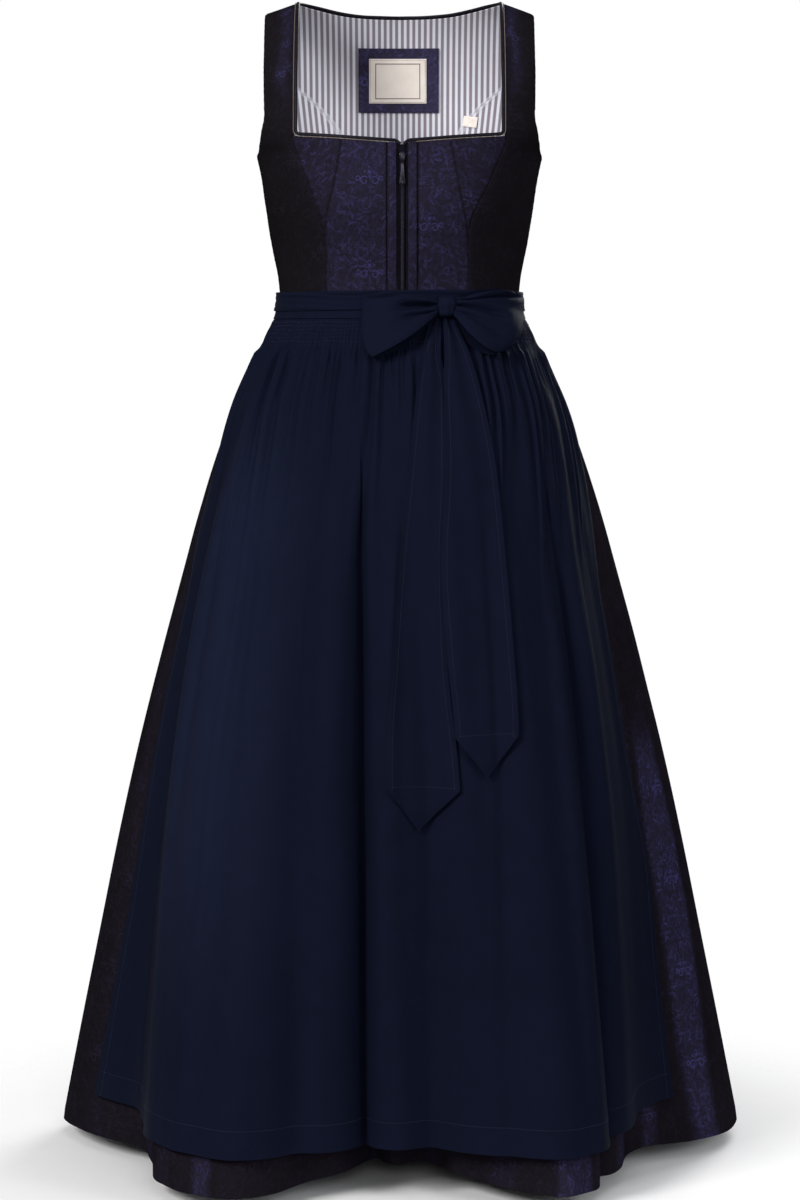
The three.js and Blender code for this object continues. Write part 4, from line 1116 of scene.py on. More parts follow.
def front_side(side):
    word = SIDES[side]
    corner = curve_of(FRONT_SEAMS, "z", "corner_" + word)
    neck_foot = front_neck_z(NECK_CORNER_HALF) - NECK_EDGE
    strap_falls = spread(RIDGE_FALL, fall_of(neck_foot + 0.2), 64)
    falls = np.concatenate([strap_falls, fall_of(mix(neck_foot - 0.2, FOOT_Z, lipped(60, 0.01)))])
    fall, s = grid(falls, lipped(44, 0.02))
    z = level_of(fall)
    beside_neck = (fall < 1) | (z > neck_foot)
    inner_x = np.where(beside_neck, strap_neck_x(fall) + NECK_EDGE, corner(z) - LAP)
    inner = angle_at(inner_x, fall)
    angle = side * mix(inner, side_edge(fall), s)
    wide = (side_edge(fall) - inner) * GIRTH
    near, far = s * wide, (1 - s) * wide
    outer = turned_edge(near) + turned_edge(far, 2.0, 1.1) + soft_creases(near, z, 4 + side, 0.5)
    outer = outer + np.where(beside_neck, 0, puckers(z, near, 6 + side)) + puckers(z, far, 8 + side, 0.2)
    uv = np.stack([side * (near + 90), -fall * FALL_STEP], -1)
    piece = bodice_wall("front_side_cloth_" + word, angle, fall, outer, uv)
    # Painted sheen on the strap, and a little beside the inner seam
    on_strap = bump(near, 11 + 3 * np.sin(z / 17), 7) * ramp(-118, -80, z)
    painted(piece, "painted_sheen", PAINTED_SHEEN["strap"] * on_strap + PAINTED_SHEEN["side"] * np.exp(-near / 12))
    return dress_piece(piece, "front_side_" + word, "brocade")


BACK_SEAM_TOP = -58


def back_edge_angle(fall):
    level = level_of(fall)
    seam = np.minimum(armhole_angle(fall), angle_at(back_seam(level) + LAP, fall))
    return np.where(level > BACK_SEAM_TOP, armhole_angle(fall), seam)


STRAP_SHARE = float(angle_at(NECK_HALF + NECK_EDGE, 0) / angle_at(STRAP_OUTER, 0))
ARCH_FOOT = 1.01
UNDER_PIPING = 0.4


def ridge_x(share):
    """How far to the side a share of the back is, at the height of the shoulders."""
    return half_width(0) * np.sin(np.abs(share) * angle_at(STRAP_OUTER, 0))


def back_fall(share, edge_fall):
    """The fall of a place on the back: its rows start under the piping between the straps."""
    x = np.minimum(ridge_x(share), NECK_HALF)
    neckline = np.maximum(RIDGE_FALL, fall_at(x, back_neck_z(x) - UNDER_PIPING))
    top = np.where(np.abs(share) >= STRAP_SHARE, RIDGE_FALL, neckline)
    return edge_fall + (top - RIDGE_FALL) * np.maximum(0, 1 - edge_fall / ARCH_FOOT)


def back_grid(edge_angle, foot_z, rows):
    between = spread(0, STRAP_SHARE - 0.004, 44)
    half = np.concatenate([between, spread(STRAP_SHARE, 0.985, 10), [0.99, 0.995, 1]])
    falls = np.concatenate([spread(RIDGE_FALL, ARCH_FOOT, 50), fall_of(spread(-124, foot_z, rows))])
    edge_fall, share = grid(falls, np.concatenate([-half[:0:-1], half]))
    fall = back_fall(share, edge_fall)
    return fall, share, share * edge_angle(fall)


def back_centre():
    fall, share, turned = back_grid(back_edge_angle, FOOT_Z, 60)
    z = level_of(fall)
    to_edge = (1 - np.abs(share)) * back_edge_angle(fall) * GIRTH
    outer = turned_edge(to_edge, 1.6, 0.9) + puckers(z, to_edge, 3) + soft_creases(share * GIRTH, z, 9, 0.5)
    uv = np.stack([-turned * GIRTH, -fall * FALL_STEP], -1)
    piece = bodice_wall("back_centre_cloth", math.pi - turned, fall, outer, uv)
    # Painted sheen down the middle of the back, with a little everywhere
    middle = ramp(95, 60, np.abs(turned) * GIRTH)
    painted(piece, "painted_sheen", PAINTED_SHEEN["back"] * middle * ramp(0, 6, to_edge) + 0.04)
    return dress_piece(piece, "back_centre", "brocade")


BACK_SIDE_TOP = {"x": 150, "z": -62.0}


def back_side(side):
    word = SIDES[side]
    start = fall_at(BACK_SIDE_TOP["x"], np.array(BACK_SIDE_TOP["z"]))
    falls = np.concatenate([spread(float(start), 1.0, 26)[:-1], fall_of(spread(-SHOULDER_ARCH, FOOT_Z, 70))])
    fall, s = grid(falls, lipped(44, 0.02))
    z = level_of(fall)
    seam = angle_at(back_seam(z) - LAP, fall)
    angle = math.pi - side * mix(seam, side_edge(fall), s)
    wide = (side_edge(fall) - seam) * GIRTH
    near, far = s * wide, (1 - s) * wide
    outer = turned_edge(near) + turned_edge(far, 2.0, 1.1) + puckers(z, near, side + 1)
    outer = outer + soft_creases(near, z, 12 + side, 0.5)
    uv = np.stack([side * (near + 60), -fall * FALL_STEP], -1)
    piece = bodice_wall("back_side_cloth_" + word, angle, fall, outer, uv)
    # A little painted sheen beside the back seam
    painted(piece, "painted_sheen", PAINTED_SHEEN["back_side"] * np.exp(-near / 14))
    return dress_piece(piece, "back_side_" + word, "brocade")


LINING_FOOT = -220
LINING_OFF = 3.1


def lining_edge_angle(fall):
    return armhole_angle(fall) - 0.04 * ramp(0.5, 0.95, fall)


def back_lining():
    fall, share, turned = back_grid(lining_edge_angle, LINING_FOOT, 24)
    z = level_of(fall)
    below_neck = back_neck_z(ridge_x(share)) - z
    outer = mix(-WALL - 0.1, -LINING_OFF + soft_creases(share * GIRTH, z, 17, 0.3), ramp(0, 6, below_neck))
    uv = np.stack([turned * GIRTH, -fall * FALL_STEP], -1)
    piece = wall("back_lining", bodice_point, math.pi - turned, fall, outer, outer - 0.8, uv, LINING)
    points = np.empty(len(piece.data.vertices) * 3)
    piece.data.vertices.foreach_get("co", points)
    x, z = np.abs(points[::3]) / MM, points[2::3] / MM
    beyond = piece.data.attributes.new("beyond_seam", "FLOAT", "POINT")
    beyond.data.foreach_set("value", (x - back_seam(z)) * MM)
    return dress_piece(piece, "lining_back", "lining")


# Piping and braid along the neckline

NOTCH_HALF = 1.2


def neck_route():
    """Places along the whole neckline, from one side of the zip round the back to the other."""
    bend_x = NECK_CORNER_HALF - NECK_CORNER_RADIUS
    bend_z = front_neck_z(bend_x) + NECK_CORNER_RADIUS
    foot_x = spread(ZIP_X + NOTCH_HALF, bend_x, 90)
    foot_z = front_neck_z(foot_x) - 3.2 * (1 - ramp(0, 6, foot_x - foot_x[0]))
    turn = np.radians(spread(0, 90, 14)[1:])
    corner_x = bend_x + NECK_CORNER_RADIUS * np.sin(turn)
    corner_z = bend_z - NECK_CORNER_RADIUS * np.cos(turn)
    low_x, low_z = np.concatenate([foot_x, corner_x]), np.concatenate([foot_z, corner_z])
    low_fall = fall_at(low_x, low_z)
    strap_fall = spread(1, 0, 60)[1:]
    back_x = spread(NECK_HALF, 0, 80)[1:]
    high_fall = fall_at(back_x, back_neck_z(back_x))
    angle = np.concatenate([
        angle_at(low_x, low_fall), angle_at(strap_neck_x(strap_fall), strap_fall),
        math.pi - angle_at(back_x, high_fall),
    ])
    fall = np.concatenate([low_fall, strap_fall, high_fall])
    left_angle, left_fall = 2 * math.pi - angle[-2::-1], fall[-2::-1]
    shift = ramp(0, 30, np.arange(len(left_angle))[::-1]) - 1
    left_angle = left_angle - shift * 2 * ZIP_X / 180
    return np.concatenate([angle, left_angle]), np.concatenate([fall, left_fall])


def along_route(angle, fall):
    """Points of a route on the bodice, with the way out of the cloth and the way to the side of the route."""
    centre = bodice_point(angle, fall)
    out = outward(bodice_point, angle, fall)
    ahead = np.gradient(centre, axis=0)
    ahead /= np.linalg.norm(ahead, axis=-1, keepdims=True)
    sideways = np.cross(ahead, out)
    sideways /= np.linalg.norm(sideways, axis=-1, keepdims=True)
    return centre, out, sideways


def neck_piping():
    centre, out, sideways = along_route(*neck_route())
    turn = spread(0, 2 * math.pi, 15)[:-1]
    long = np.concatenate([[0], np.cumsum(np.linalg.norm(np.diff(centre, axis=0), axis=-1))])
    swell = 1 + 0.05 * np.sin(long / 7) * np.sin(long / 23)
    half = mix(PIPING_HALF, BACK_PIPING_HALF, ramp(10, 40, centre[:, 1])) * swell
    across = np.cos(turn)[None, :, None] * sideways[:, None] * half[:, None, None]
    above = (PIPING_RISE * np.sin(turn) - 0.3)[None, :, None] * out[:, None]
    rings = centre[:, None] + across + above
    uv = np.stack(np.broadcast_arrays(long[:, None], (turn * 2.4)[None]), -1)
    piece = tube("neck_piping_satin", rings, uv, PIPING)
    return dress_piece(piece, "neck_piping", "piping")


def neck_braid():
    centre, out, sideways = along_route(*neck_route())
    path = centre + sideways * (PIPING_HALF + 0.5) + out * 0.7
    sizes = {"Step": 1.5 * MM, "Swing": 0.4 * MM, "Radius": 0.3 * MM}
    piece = made_along("neck_braid", ZIGZAG, [path[3:-3]], BRONZE, [sideways[3:-3]], **sizes)
    return dress_piece(piece, None, "piping")


# Zip

ZIP_PLACE = {"slider": (-174, 0.3), "pull": (-181, 2.7)}


def on_zip(z, lift):
    """The place of a zip's part, with the way across, up and out there."""
    fall = fall_of(z)
    angle = angle_at(ZIP_X, fall)
    out = outward(bodice_point, angle, fall)
    out[0] = 0
    out /= np.linalg.norm(out)
    across = np.array([1.0, 0, 0])
    return bodice_point(angle, fall) + out * lift, across, np.cross(out, across), out


def zip_strip():
    """The zip's tape: a shallow ridge between the two edges of the bodice, and its sides under them."""
    reach = ZIP_HALF + 1.8
    t, x = grid(lipped(60, 0.01), spread(-reach, reach, 37))
    z = mix(ZIP_TOP - 4, FOOT_Z, t)
    outer = -0.7 + 0.6 * np.maximum(0, 1 - (x / 1.9) ** 2) - 1.4 * ramp(ZIP_HALF - 0.7, ZIP_HALF, np.abs(x))
    fall = fall_of(z)
    uv = np.stack([x, z], -1)
    piece = wall("zip_tape", bodice_point, angle_at(ZIP_X + x, fall), fall, outer, -WALL - 1.2, uv, ZIP_TAPE)
    return dress_piece(piece, "zip_strip", "zip_tape")


def zip_coil():
    """The coil's teeth, two rows that meet in the middle, closed all the way down from the slider."""
    rows = []
    for x, shift in ((ZIP_X - 0.75, 0), (ZIP_X + 0.75, 0.6)):
        fall = fall_of(spread(-170 - shift, FOOT_Z + 3, 200))
        rows.append(bodice_point(angle_at(x, fall), fall))
    return stitched("zip_coil", rows, COIL_PLASTIC, "zip_tape", 1.2, 0.8, 0.85)


def plate(name, outline, bottom, top, bevel, place, material):
    """A flat metal part with rounded edges from an outline in its own plane."""
    at, across, up, out = place
    middle = outline.mean(axis=0)
    reach = np.linalg.norm(outline - middle, axis=-1, keepdims=True)
    inset = outline - (outline - middle) / reach * bevel
    slight = outline - (outline - middle) / reach * bevel * 0.3
    levels = [
        (inset, bottom), (slight, bottom + 0.3 * bevel), (outline, bottom + bevel),
        (outline, top - bevel), (slight, top - 0.3 * bevel), (inset, top),
    ]
    rings = np.array([
        at + flat[:, :1] * across + flat[:, 1:] * up + height * out for flat, height in levels
    ])
    uv = np.stack(np.broadcast_arrays(np.arange(6.0)[:, None], np.arange(float(len(outline)))[None]), -1)
    return tube(name, rings, uv, material)


def zip_slider():
    turn = spread(0, math.pi, 15)
    top = np.stack([3.2 * np.cos(turn), 1.6 + 3.4 * np.sin(turn)], -1)
    foot = [(-2.9, -1.5), (-1.9, -5), (-1, -5), (-1, -5.7), (1, -5.7), (1, -5), (1.9, -5), (2.9, -1.5)]
    outline = np.concatenate([top, foot])
    place = on_zip(*ZIP_PLACE["slider"])
    body = plate("zip_slider_body", outline, 0, 1.7, 0.4, place, ZIP_METAL)
    bridge_turn = spread(0, 2 * math.pi, 17)[:-1]
    bridge_outline = np.stack([0.9 * np.cos(bridge_turn), -0.6 + 4.2 * np.sin(bridge_turn)], -1)
    bridge = plate("zip_slider_bridge", bridge_outline, 1.5, 2.8, 0.35, place, ZIP_METAL)
    dress_piece(body, "zip_slider", "zip_metal")
    return dress_piece(bridge, None, "zip_metal")


def zip_pull():
    """A drop-shaped pull with a raised round boss near its foot, hanging from the slider."""
    turn = spread(math.pi, 2 * math.pi, 21)
    drop = np.stack([3.1 * np.cos(turn), -20.9 + 3.1 * np.sin(turn)], -1)
    sides = spread(0, 1, 8)[1:-1]
    up_right = np.stack([mix(3.1, 1.3, sides ** 0.8), mix(-20.9, 0.8, sides)], -1)
    outline = np.concatenate([drop, up_right, [(1.3, 0.8), (-1.3, 0.8)], up_right[::-1] * [-1, 1]])
    place = on_zip(*ZIP_PLACE["pull"])
    body = plate("zip_pull_drop", outline, -0.65, 0.45, 0.3, place, ZIP_METAL)
    dent_turn = spread(0, 2 * math.pi, 21)[:-1]
    boss = np.stack([1.9 * np.cos(dent_turn), -20.6 + 2.0 * np.sin(dent_turn)], -1)
    raised = plate("zip_pull_boss", boss, 0.3, 0.68, 0.18, place, ZIP_METAL)
    dress_piece(body, "zip_pull", "zip_metal", body="pull")
    return dress_piece(raised, None, "zip_metal", body="pull")


# Skirt and apron

def hung_uv(outer, share):
    """The cloth's own coordinates of a hung panel: as wide as its longest row, and its length down."""
    widest = np.linalg.norm(np.diff(outer, axis=1), axis=-1).sum(axis=1).max()
    middle = outer[:, outer.shape[1] // 2]
    down = np.concatenate([[0], np.cumsum(np.linalg.norm(np.diff(middle, axis=0), axis=-1))])
    return np.stack(np.broadcast_arrays(share * widest, -down[:, None]), -1)


def row_height(level, hem):
    return level + (hem - HEM_Z) * down_share(level) ** 3


def hung_levels(top, count):
    """Heights down a hung panel, closer together near its gathered top."""
    return mix(top, HEM_Z, spread(0, 1, count) ** 1.25)


# Where the skirt's satin catches the light: the middle of each strip at the waist and at the hem and its
# half width, in degrees, how bright it is and the height it begins at
STRIPS = table("top foot half bright from", [
    (-84, -85, 1.4, 0.08, -600), (-71, -72, 2.2, 0.25, -600), (-60, -60, 2.0, 0.2, -600),
    (-46, -48.5, 2.8, 0.9, -600), (-14, -15, 2.0, 0.2, -360), (8, 8, 2.0, 0.25, -360),
    (24, 26, 2.0, 0.25, -360), (38, 41, 4.0, 1.0, -700), (51, 51, 1.8, 0.35, -360),
    (62, 63, 2.0, 0.5, -360), (71, 74.6, 1.4, 0.5, -360), (79, 83.4, 2.8, 1.5, -760),
    (101, 101, 3.4, 0.5, -360), (113, 114, 1.8, 0.2, -360), (127, 128, 3.0, 0.6, -360),
    (141, 140, 2.2, 0.3, -360), (154, 154, 3.4, 0.7, -360), (166, 165, 1.8, 0.3, -360),
    (177, 178, 3.2, 0.6, -360), (190, 191, 2.0, 0.25, -360), (203, 203, 3.6, 0.7, -360),
    (216, 217, 2.0, 0.3, -360), (231, 230, 3.2, 0.6, -360), (244, 243, 1.8, 0.25, -360),
    (257, 258, 3.4, 0.5, -360),
])


# Painted sheen on the skirt: bright strips where its satin would catch the light, and a little everywhere
def skirt_painted_sheen(angle, level):
    turned = from_left(angle)
    down = down_share(level)
    painted_sheen = np.zeros(np.broadcast(angle, level).shape)
    for top, foot, half, bright, start in zip(*STRIPS.values()):
        middle = mix(top, foot, down) + 0.4 * np.sin(down * 17 + foot)
        wide = half * (0.9 + 0.35 * np.sin(down * 7 + 2 * foot))
        begun = ramp(start, start - 110, level)
        shown = bright * ramp(wide + 1.2, wide - 0.8, np.abs(turned - middle)) * begun
        painted_sheen = np.maximum(painted_sheen, shown * (0.8 + 0.2 * np.sin(down * 9 + foot)))
    return painted_sheen + 0.05


# The two panels of the skirt, from one side seam to the other in degrees. The front is plain up to
# `plain_to`, since the apron covers it, and each goes under the other by its own `lap`
SKIRT_ROWS = 92
SKIRTS = {
    "front": {
        "ends": (-90.12, 90.12), "columns": 260, "gathers": 62, "seed": 5, "plain_to": 82, "lap": 0.3,
    },
    "back": {
        "ends": (89.88, 270.12), "columns": 340, "gathers": 64, "seed": 8, "plain_to": 0, "lap": 0.8,
    },
}


def skirt(name):
    panel = SKIRTS[name]
    count, seed, plain_to, lap = (panel[key] for key in ("gathers", "seed", "plain_to", "lap"))
    level, s = grid(hung_levels(WAIST_Z - SEAM / 2, SKIRT_ROWS), lipped(panel["columns"], 0.004))
    angle = mix(*panel["ends"], s)
    z = row_height(level, skirt_hem_z(angle))
    waves = gathers(s, level, count, seed, 3.0, -345, -385, -460, -900)
    waves = waves + 0.5 * gathers(s, level, count * 2 + 3, seed + 5, 2.0, -345, -370, -420, -560)
    from_front = np.abs(np.mod(angle + 180, 360) - 180)
    waves = waves * ramp(plain_to, plain_to + 5, from_front) * ramp(0.5, 4, np.abs(from_front - 90))
    waves = waves - lap * bump(from_front, 90, 0.4)
    edge = turned_edge(HEM_Z - level, 4, 0.8)
    here = lifted(skirt_point, angle, z, waves + edge)
    back = lifted(skirt_point, angle, z, waves - THIN)
    piece = cloth("skirt_" + name + "_cloth", here, back, hung_uv(here, s), BROCADE)
    # The skirt's painted sheen strips
    painted(piece, "painted_sheen", skirt_painted_sheen(angle, level))
    return dress_piece(piece, "skirt_" + name, "brocade")


SHIRRING = {"top": -350, "step": 4.2, "rows": 7}
SHIRRING_FOOT = SHIRRING["top"] - SHIRRING["step"] * (SHIRRING["rows"] - 1)


def apron_off(z):
    return 0.9 + 3.6 * down_share(z)


def apron_waves(s, level):
    """Fine shirring at the waistband, then gathers that run out downwards into soft folds."""
    shirred = 1.1 * (0.5 - 0.5 * np.cos(2 * math.pi * uneven(104, 3, 0.35)(s)))
    shirred = shirred * ramp(-346, -349, level) * (1 - ramp(-376, -400, level))
    rows = np.cos(2 * math.pi * (level - SHIRRING["top"]) / SHIRRING["step"])
    pinched = 0.3 * (0.5 + 0.5 * rows) * ramp(SHIRRING_FOOT - 2, SHIRRING_FOOT, level)
    gathered = gathers(s, level, 37, 11, 5.6, SHIRRING_FOOT + 1, -388, -420, -560)
    finer = gathers(s, level, 83, 29, 1.8, SHIRRING_FOOT + 1, -384, -396, -450)
    long = gathers(s, level, 15, 41, 2.4, -400, -500, -620, -1300)
    return shirred * mix(1, 0.7, rows) - pinched * 0.2 + gathered + finer + long


def apron_angle(s, level):
    return mix(apron_left(level), apron_right(level), s)


def apron_place(s, level, off):
    """A place on the apron's face from its share across, and its level."""
    angle = apron_angle(s, level)
    z = row_height(level, apron_hem_z(angle))
    return lifted(apron_base, angle, z, apron_off(level) + THIN + apron_waves(s, level) + off)


# The apron's band of painted soft sheen, in degrees round the waist, and the size of the apron's grid
SHEEN = {"edge": -69, "full": -56, "end": -24}
APRON_GRID = {"rows": 88, "columns": 440}


def apron():
    level, s = grid(hung_levels(GATHER_Z - SEAM, APRON_GRID["rows"]), lipped(APRON_GRID["columns"], 0.004))
    here = apron_place(s, level, 0.0)
    back = apron_place(s, level, -0.9)
    piece = cloth("apron_cloth", here, back, hung_uv(here, s), NAVY)
    angle = apron_angle(s, level)
    # Painted sheen in a broad band on the apron's left front
    lit = ramp(SHEEN["edge"], SHEEN["edge"] + 5, angle) * ramp(SHEEN["end"], SHEEN["full"], angle)
    painted(piece, "painted_sheen", lit * ramp(-400, -560, level) * ramp(-1180, -840, level))
    return dress_piece(piece, "apron_panel", "apron_cloth")


BAND = {"top": -319, "off": 1.4, "thick": 1.3, "end": 87}


def apron_band():
    z, angle = grid(mix(BAND["top"], GATHER_Z, lipped(16, 0.04)), spread(-BAND["end"], BAND["end"], 340))
    rolled = turned_edge(BAND["top"] - z, 1.2, 0.5)
    ripple = 0.22 * np.sin(angle * 2.1) * np.sin(angle * 0.7 + z / 5)
    outer = BAND["off"] + BAND["thick"] + ripple + rolled
    uv = np.stack([angle * 2.3, z], -1)
    piece = wall("apron_band_cloth", waist_point, angle, z, outer, BAND["off"] - 0.2, uv, NAVY)
    return dress_piece(piece, "apron_band", "apron_cloth")


TIE = {"top": -315, "foot": -337, "thick": 1.4, "behind": 0.9, "gap": 0.7}


def tie_off(angle):
    over_band = BAND["off"] + BAND["thick"] + TIE["gap"]
    return mix(over_band, TIE["behind"], ramp(BAND["end"] + 2, BAND["end"] + 16, np.abs(angle)))


def apron_tie():
    shares = lipped(22, 0.03)
    t, angle = grid(shares, spread(-180, 180, 361)[:-1])
    round_turn = np.radians(angle)
    z = mix(TIE["top"], TIE["foot"], t) + 0.8 * np.sin(round_turn * 2 + 0.6)
    lay = t * 3.1 + 0.5 * np.sin(round_turn * 3) + 0.25 * np.sin(round_turn * 7 + 1)
    creased = 0.8 * np.abs(np.sin(math.pi * lay)) ** 0.7
    rolled = turned_edge(t * 22, 1.2, 0.7) + turned_edge((1 - t) * 22, 1.2, 0.7)
    outer = tie_off(angle) + TIE["thick"] + creased - 0.3 + rolled
    uv = np.stack([angle * 2.4, z], -1)
    piece = wall("apron_tie_cloth", waist_point, angle, z, outer, tie_off(angle), uv, NAVY, ring=True)
    return dress_piece(piece, "apron_tie", "apron_cloth")


# Bow

KNOT = {"x": 46, "z": -336, "half_wide": 12, "half_high": 11.5, "half_deep": 7.5, "gap": 0.5}
KNOT_OFF = float(tie_off(0)) + TIE["thick"] + KNOT["half_deep"] + KNOT["gap"]
LOOP = {
    "start": 5.4, "half_pinch": 8, "half_deep": 9.5, "end_deep": 0.75, "bulge": 3.5, "open": 24, "thick": 1.3,
}
LOOPS = {
    -1: {"reach": 78, "half_end": 35, "fall_end": 23, "low_round": 0.13, "top_round": 0.02, "sag": 2},
    1: {"reach": 70, "half_end": 37, "fall_end": 17, "low_round": 0.34, "top_round": 0.03, "sag": 5},
}
# Creases in the front of each loop: their place across at the knot and at their far end (1 is the top
# edge), how far out they start and end, how deep they are and their half width across
LOOP_CREASES = {
    -1: table("near far start end depth width", [
        (0.1, 0.24, 0.0, 0.6, 8.5, 0.18), (-0.5, -0.28, 0.0, 0.55, 4.2, 0.13),
        (0.9, 0.8, 0.5, 0.95, 2.4, 0.1), (-0.2, -0.72, 0.25, 0.95, 1.4, 0.2),
    ]),
    1: table("near far start end depth width", [
        (0.5, 0.82, 0.1, 0.95, 5.0, 0.13), (0.1, -0.1, 0.0, 0.75, 6.0, 0.17),
        (-0.45, -0.6, 0.05, 0.85, 3.4, 0.12), (0.35, 0.3, 0.4, 1.0, 1.4, 0.16),
    ]),
}


def grid_out(points, centre):
    """The way out at each point of a grid, away from a centre."""
    out = np.cross(np.gradient(points, axis=1), np.gradient(points, axis=0))
    out /= np.linalg.norm(out, axis=-1, keepdims=True) + 1e-12
    inwards = np.sum(out * (points - centre), axis=-1, keepdims=True) < 0
    return np.where(inwards, -out, out)


def loop_creases(side, across, reach):
    dent = 0.0
    for near, far, start, end, depth, width in zip(*LOOP_CREASES[side].values()):
        middle = mix(near, far, np.clip(reach / end, 0, 1))
        along = ramp(start - 0.02, start + 0.16, reach) * ramp(end + 0.08, end - 0.22, reach)
        dent = dent + depth * along * bump(across, middle, width * mix(0.7, 1.4, reach))
    return dent


def bow_loop(side):
    shape = LOOPS[side]
    across, turn = grid(spread(-1, 1, 64), spread(LOOP["open"], 360 - LOOP["open"], 140))
    reach = (1 - np.cos(np.radians(turn))) / 2
    low, high = np.maximum(0, -across), np.maximum(0, across)
    half = mix(LOOP["half_pinch"], shape["half_end"], np.sin(reach * math.pi / 2) ** 0.8)
    sag = shape["sag"] * np.sin(math.pi * reach) * low ** 2
    z = KNOT["z"] - shape["fall_end"] * reach ** 1.3 + across * half - sag
    rounded = reach * (1 - shape["low_round"] * low ** 3 - shape["top_round"] * high ** 4)
    facing = np.sin(np.radians(turn))
    deep = LOOP["half_deep"] * mix(1, LOOP["end_deep"], reach) * facing
    puffed = 2.2 * np.cos(across * math.pi / 2) * reach * facing
    dent = loop_creases(side, across, reach) * ramp(0.05, 0.4, facing)
    x = KNOT["x"] + side * (LOOP["start"] + shape["reach"] * rounded)
    points = before_apron(x, z, KNOT_OFF + LOOP["bulge"] * reach + deep + puffed - dent)
    out = grid_out(points, points.reshape(-1, 3).mean(axis=0))
    wrinkled = 0.5 * np.sin(across * 7 + side + 3 * reach) * (1 - 0.5 * reach)
    rolled = -0.8 * np.exp(-(((1 - np.abs(across)) * half / 1.6) ** 2))
    here = points + out * (LOOP["thick"] / 2 + wrinkled + rolled)[..., None]
    back = points + out * (-LOOP["thick"] / 2 + wrinkled)[..., None]
    uv = hung_uv(here.transpose(1, 0, 2), (across.T + 1) / 2).transpose(1, 0, 2)
    piece = cloth("bow_loop_cloth_" + SIDES[side], here, back, uv, NAVY)
    return dress_piece(piece, "bow_loop_" + SIDES[side], "apron_cloth")


def bow_knot():
    """The knot: cloth wrapped once over the loops, with lengthwise folds."""
    tilt, turn = grid(spread(-math.pi / 2, math.pi / 2, 41)[1:-1], spread(0, 2 * math.pi, 73)[:-1])
    middle = before_apron(np.array(float(KNOT["x"])), np.array(float(KNOT["z"])), KNOT_OFF)
    folds = 1 + 0.045 * np.cos(turn * 9 + tilt * 1.5) * np.cos(tilt) + 0.03 * np.sin(tilt * 6)
    square = (np.abs(np.cos(tilt)) ** 4 + np.abs(np.sin(tilt)) ** 4) ** -0.18
    wide = KNOT["half_wide"] * np.cos(tilt) * np.cos(turn) * folds * square
    deep = KNOT["half_deep"] * np.cos(tilt) * np.sin(turn) * folds * square
    high = KNOT["half_high"] * np.sin(tilt) * square
    rings = middle + np.stack([wide + 0.12 * high, deep, high], -1)
    uv = np.stack([turn * 9, high], -1)
    piece = tube("bow_knot_cloth", rings, uv, NAVY)
    return dress_piece(piece, "bow_knot", "apron_cloth")


TAILS = {
    "left": {
        "rows": LEFT_TAIL, "off": 0.8, "seed": 0.4,
        "corners": {"left": (-834, -13), "right": (-836, 63)}, "tip": (-878, 20),
    },
    "right": {
        "rows": RIGHT_TAIL, "off": 0.8 + THIN + 0.5, "seed": 2.1,
        "corners": {"left": (-782, 58), "right": (-780, 124)}, "tip": (-823, 92),
    },
}


def gather_depth(z):
    return 2.4 * ramp(-350, -392, z) * (1 - ramp(-430, -620, z))


def tail_edge(tail, edge, z):
    """How far to the side an edge of a tail is: it runs straight from its corner to the tip."""
    corner_z, corner_x = tail["corners"][edge]
    tip_z, tip_x = tail["tip"]
    to_tip = np.clip((corner_z - z) / (corner_z - tip_z), 0, 0.97)
    return np.where(z > corner_z, curve_of(tail["rows"], "z", edge)(z), mix(corner_x, tip_x, to_tip))


TAIL_FORWARD = np.array([0, 1.08, 0])
TAIL_FOLDS = {"top": -344, "long": 480}


def tail_place(name, s, z, lift):
    """A place on a tail: folds start under the knot and run out downwards."""
    tail = TAILS[name]
    seed = tail["seed"]
    x = mix(tail_edge(tail, "left", z), tail_edge(tail, "right", z), s)
    level = np.maximum(z, tail["rows"]["z"].min())
    left, right = (curve_of(tail["rows"], "z", edge)(level) for edge in ("left", "right"))
    s = (x - left) / (right - left)
    down = np.clip((TAIL_FOLDS["top"] - z) / TAIL_FOLDS["long"], 0, 1)
    turns = 1.6 * s + 0.25 * np.sin(down * 4 + seed)
    folded = 2.2 * np.cos(2 * math.pi * turns + seed) * (1 - ramp(0, 0.9, down))
    folded = folded + 1.3 * np.cos(2 * math.pi * (0.9 * s + 0.3 * down) + 2 * seed) * ramp(0.15, 0.6, down)
    off = apron_off(z) + THIN + gather_depth(z) + 2.6 + tail["off"] + folded * 0.55 + lift
    return apron_point(front_angle(x, z), z) - off[..., None] * TAIL_FORWARD


def bow_tail(name):
    tail = TAILS[name]
    high, low = sorted((corner[0] for corner in tail["corners"].values()), reverse=True)
    straight = spread(tail["rows"]["z"].max(), high, 96)
    point = spread(low, tail["tip"][0], 24)[1:]
    heights = np.concatenate([straight, spread(high, low, 9)[1:], point])
    z, s = grid(heights, lipped(34, 0.03))
    here = tail_place(name, s, z, THIN)
    back = tail_place(name, s, z, 0.3)
    piece = cloth("bow_tail_cloth_" + name, here, back, hung_uv(here, s), NAVY)
    return dress_piece(piece, "bow_tail_" + name, "apron_cloth")


# Labels

LABELS = {
    "label_patch": {"x": -1, "z": -76, "half": (46, 36), "tilt": 0, "depth": 0.9},
    "label": {"x": -2, "z": -76, "half": (33, 25), "tilt": 0, "depth": 2.3},
    "size_tag": {"x": 81, "z": -123, "half": (8, 6), "tilt": -8, "depth": 1},
}


def label_place(row, u, v, off):
    turn = math.radians(row["tilt"])
    half_wide, half_high = row["half"]
    x = row["x"] + u * half_wide * math.cos(turn) - v * half_high * math.sin(turn)
    z = row["z"] + u * half_wide * math.sin(turn) + v * half_high * math.cos(turn)
    fall = fall_at(x, z)
    return lifted(bodice_point, math.pi - angle_at(x, fall), fall, -off)


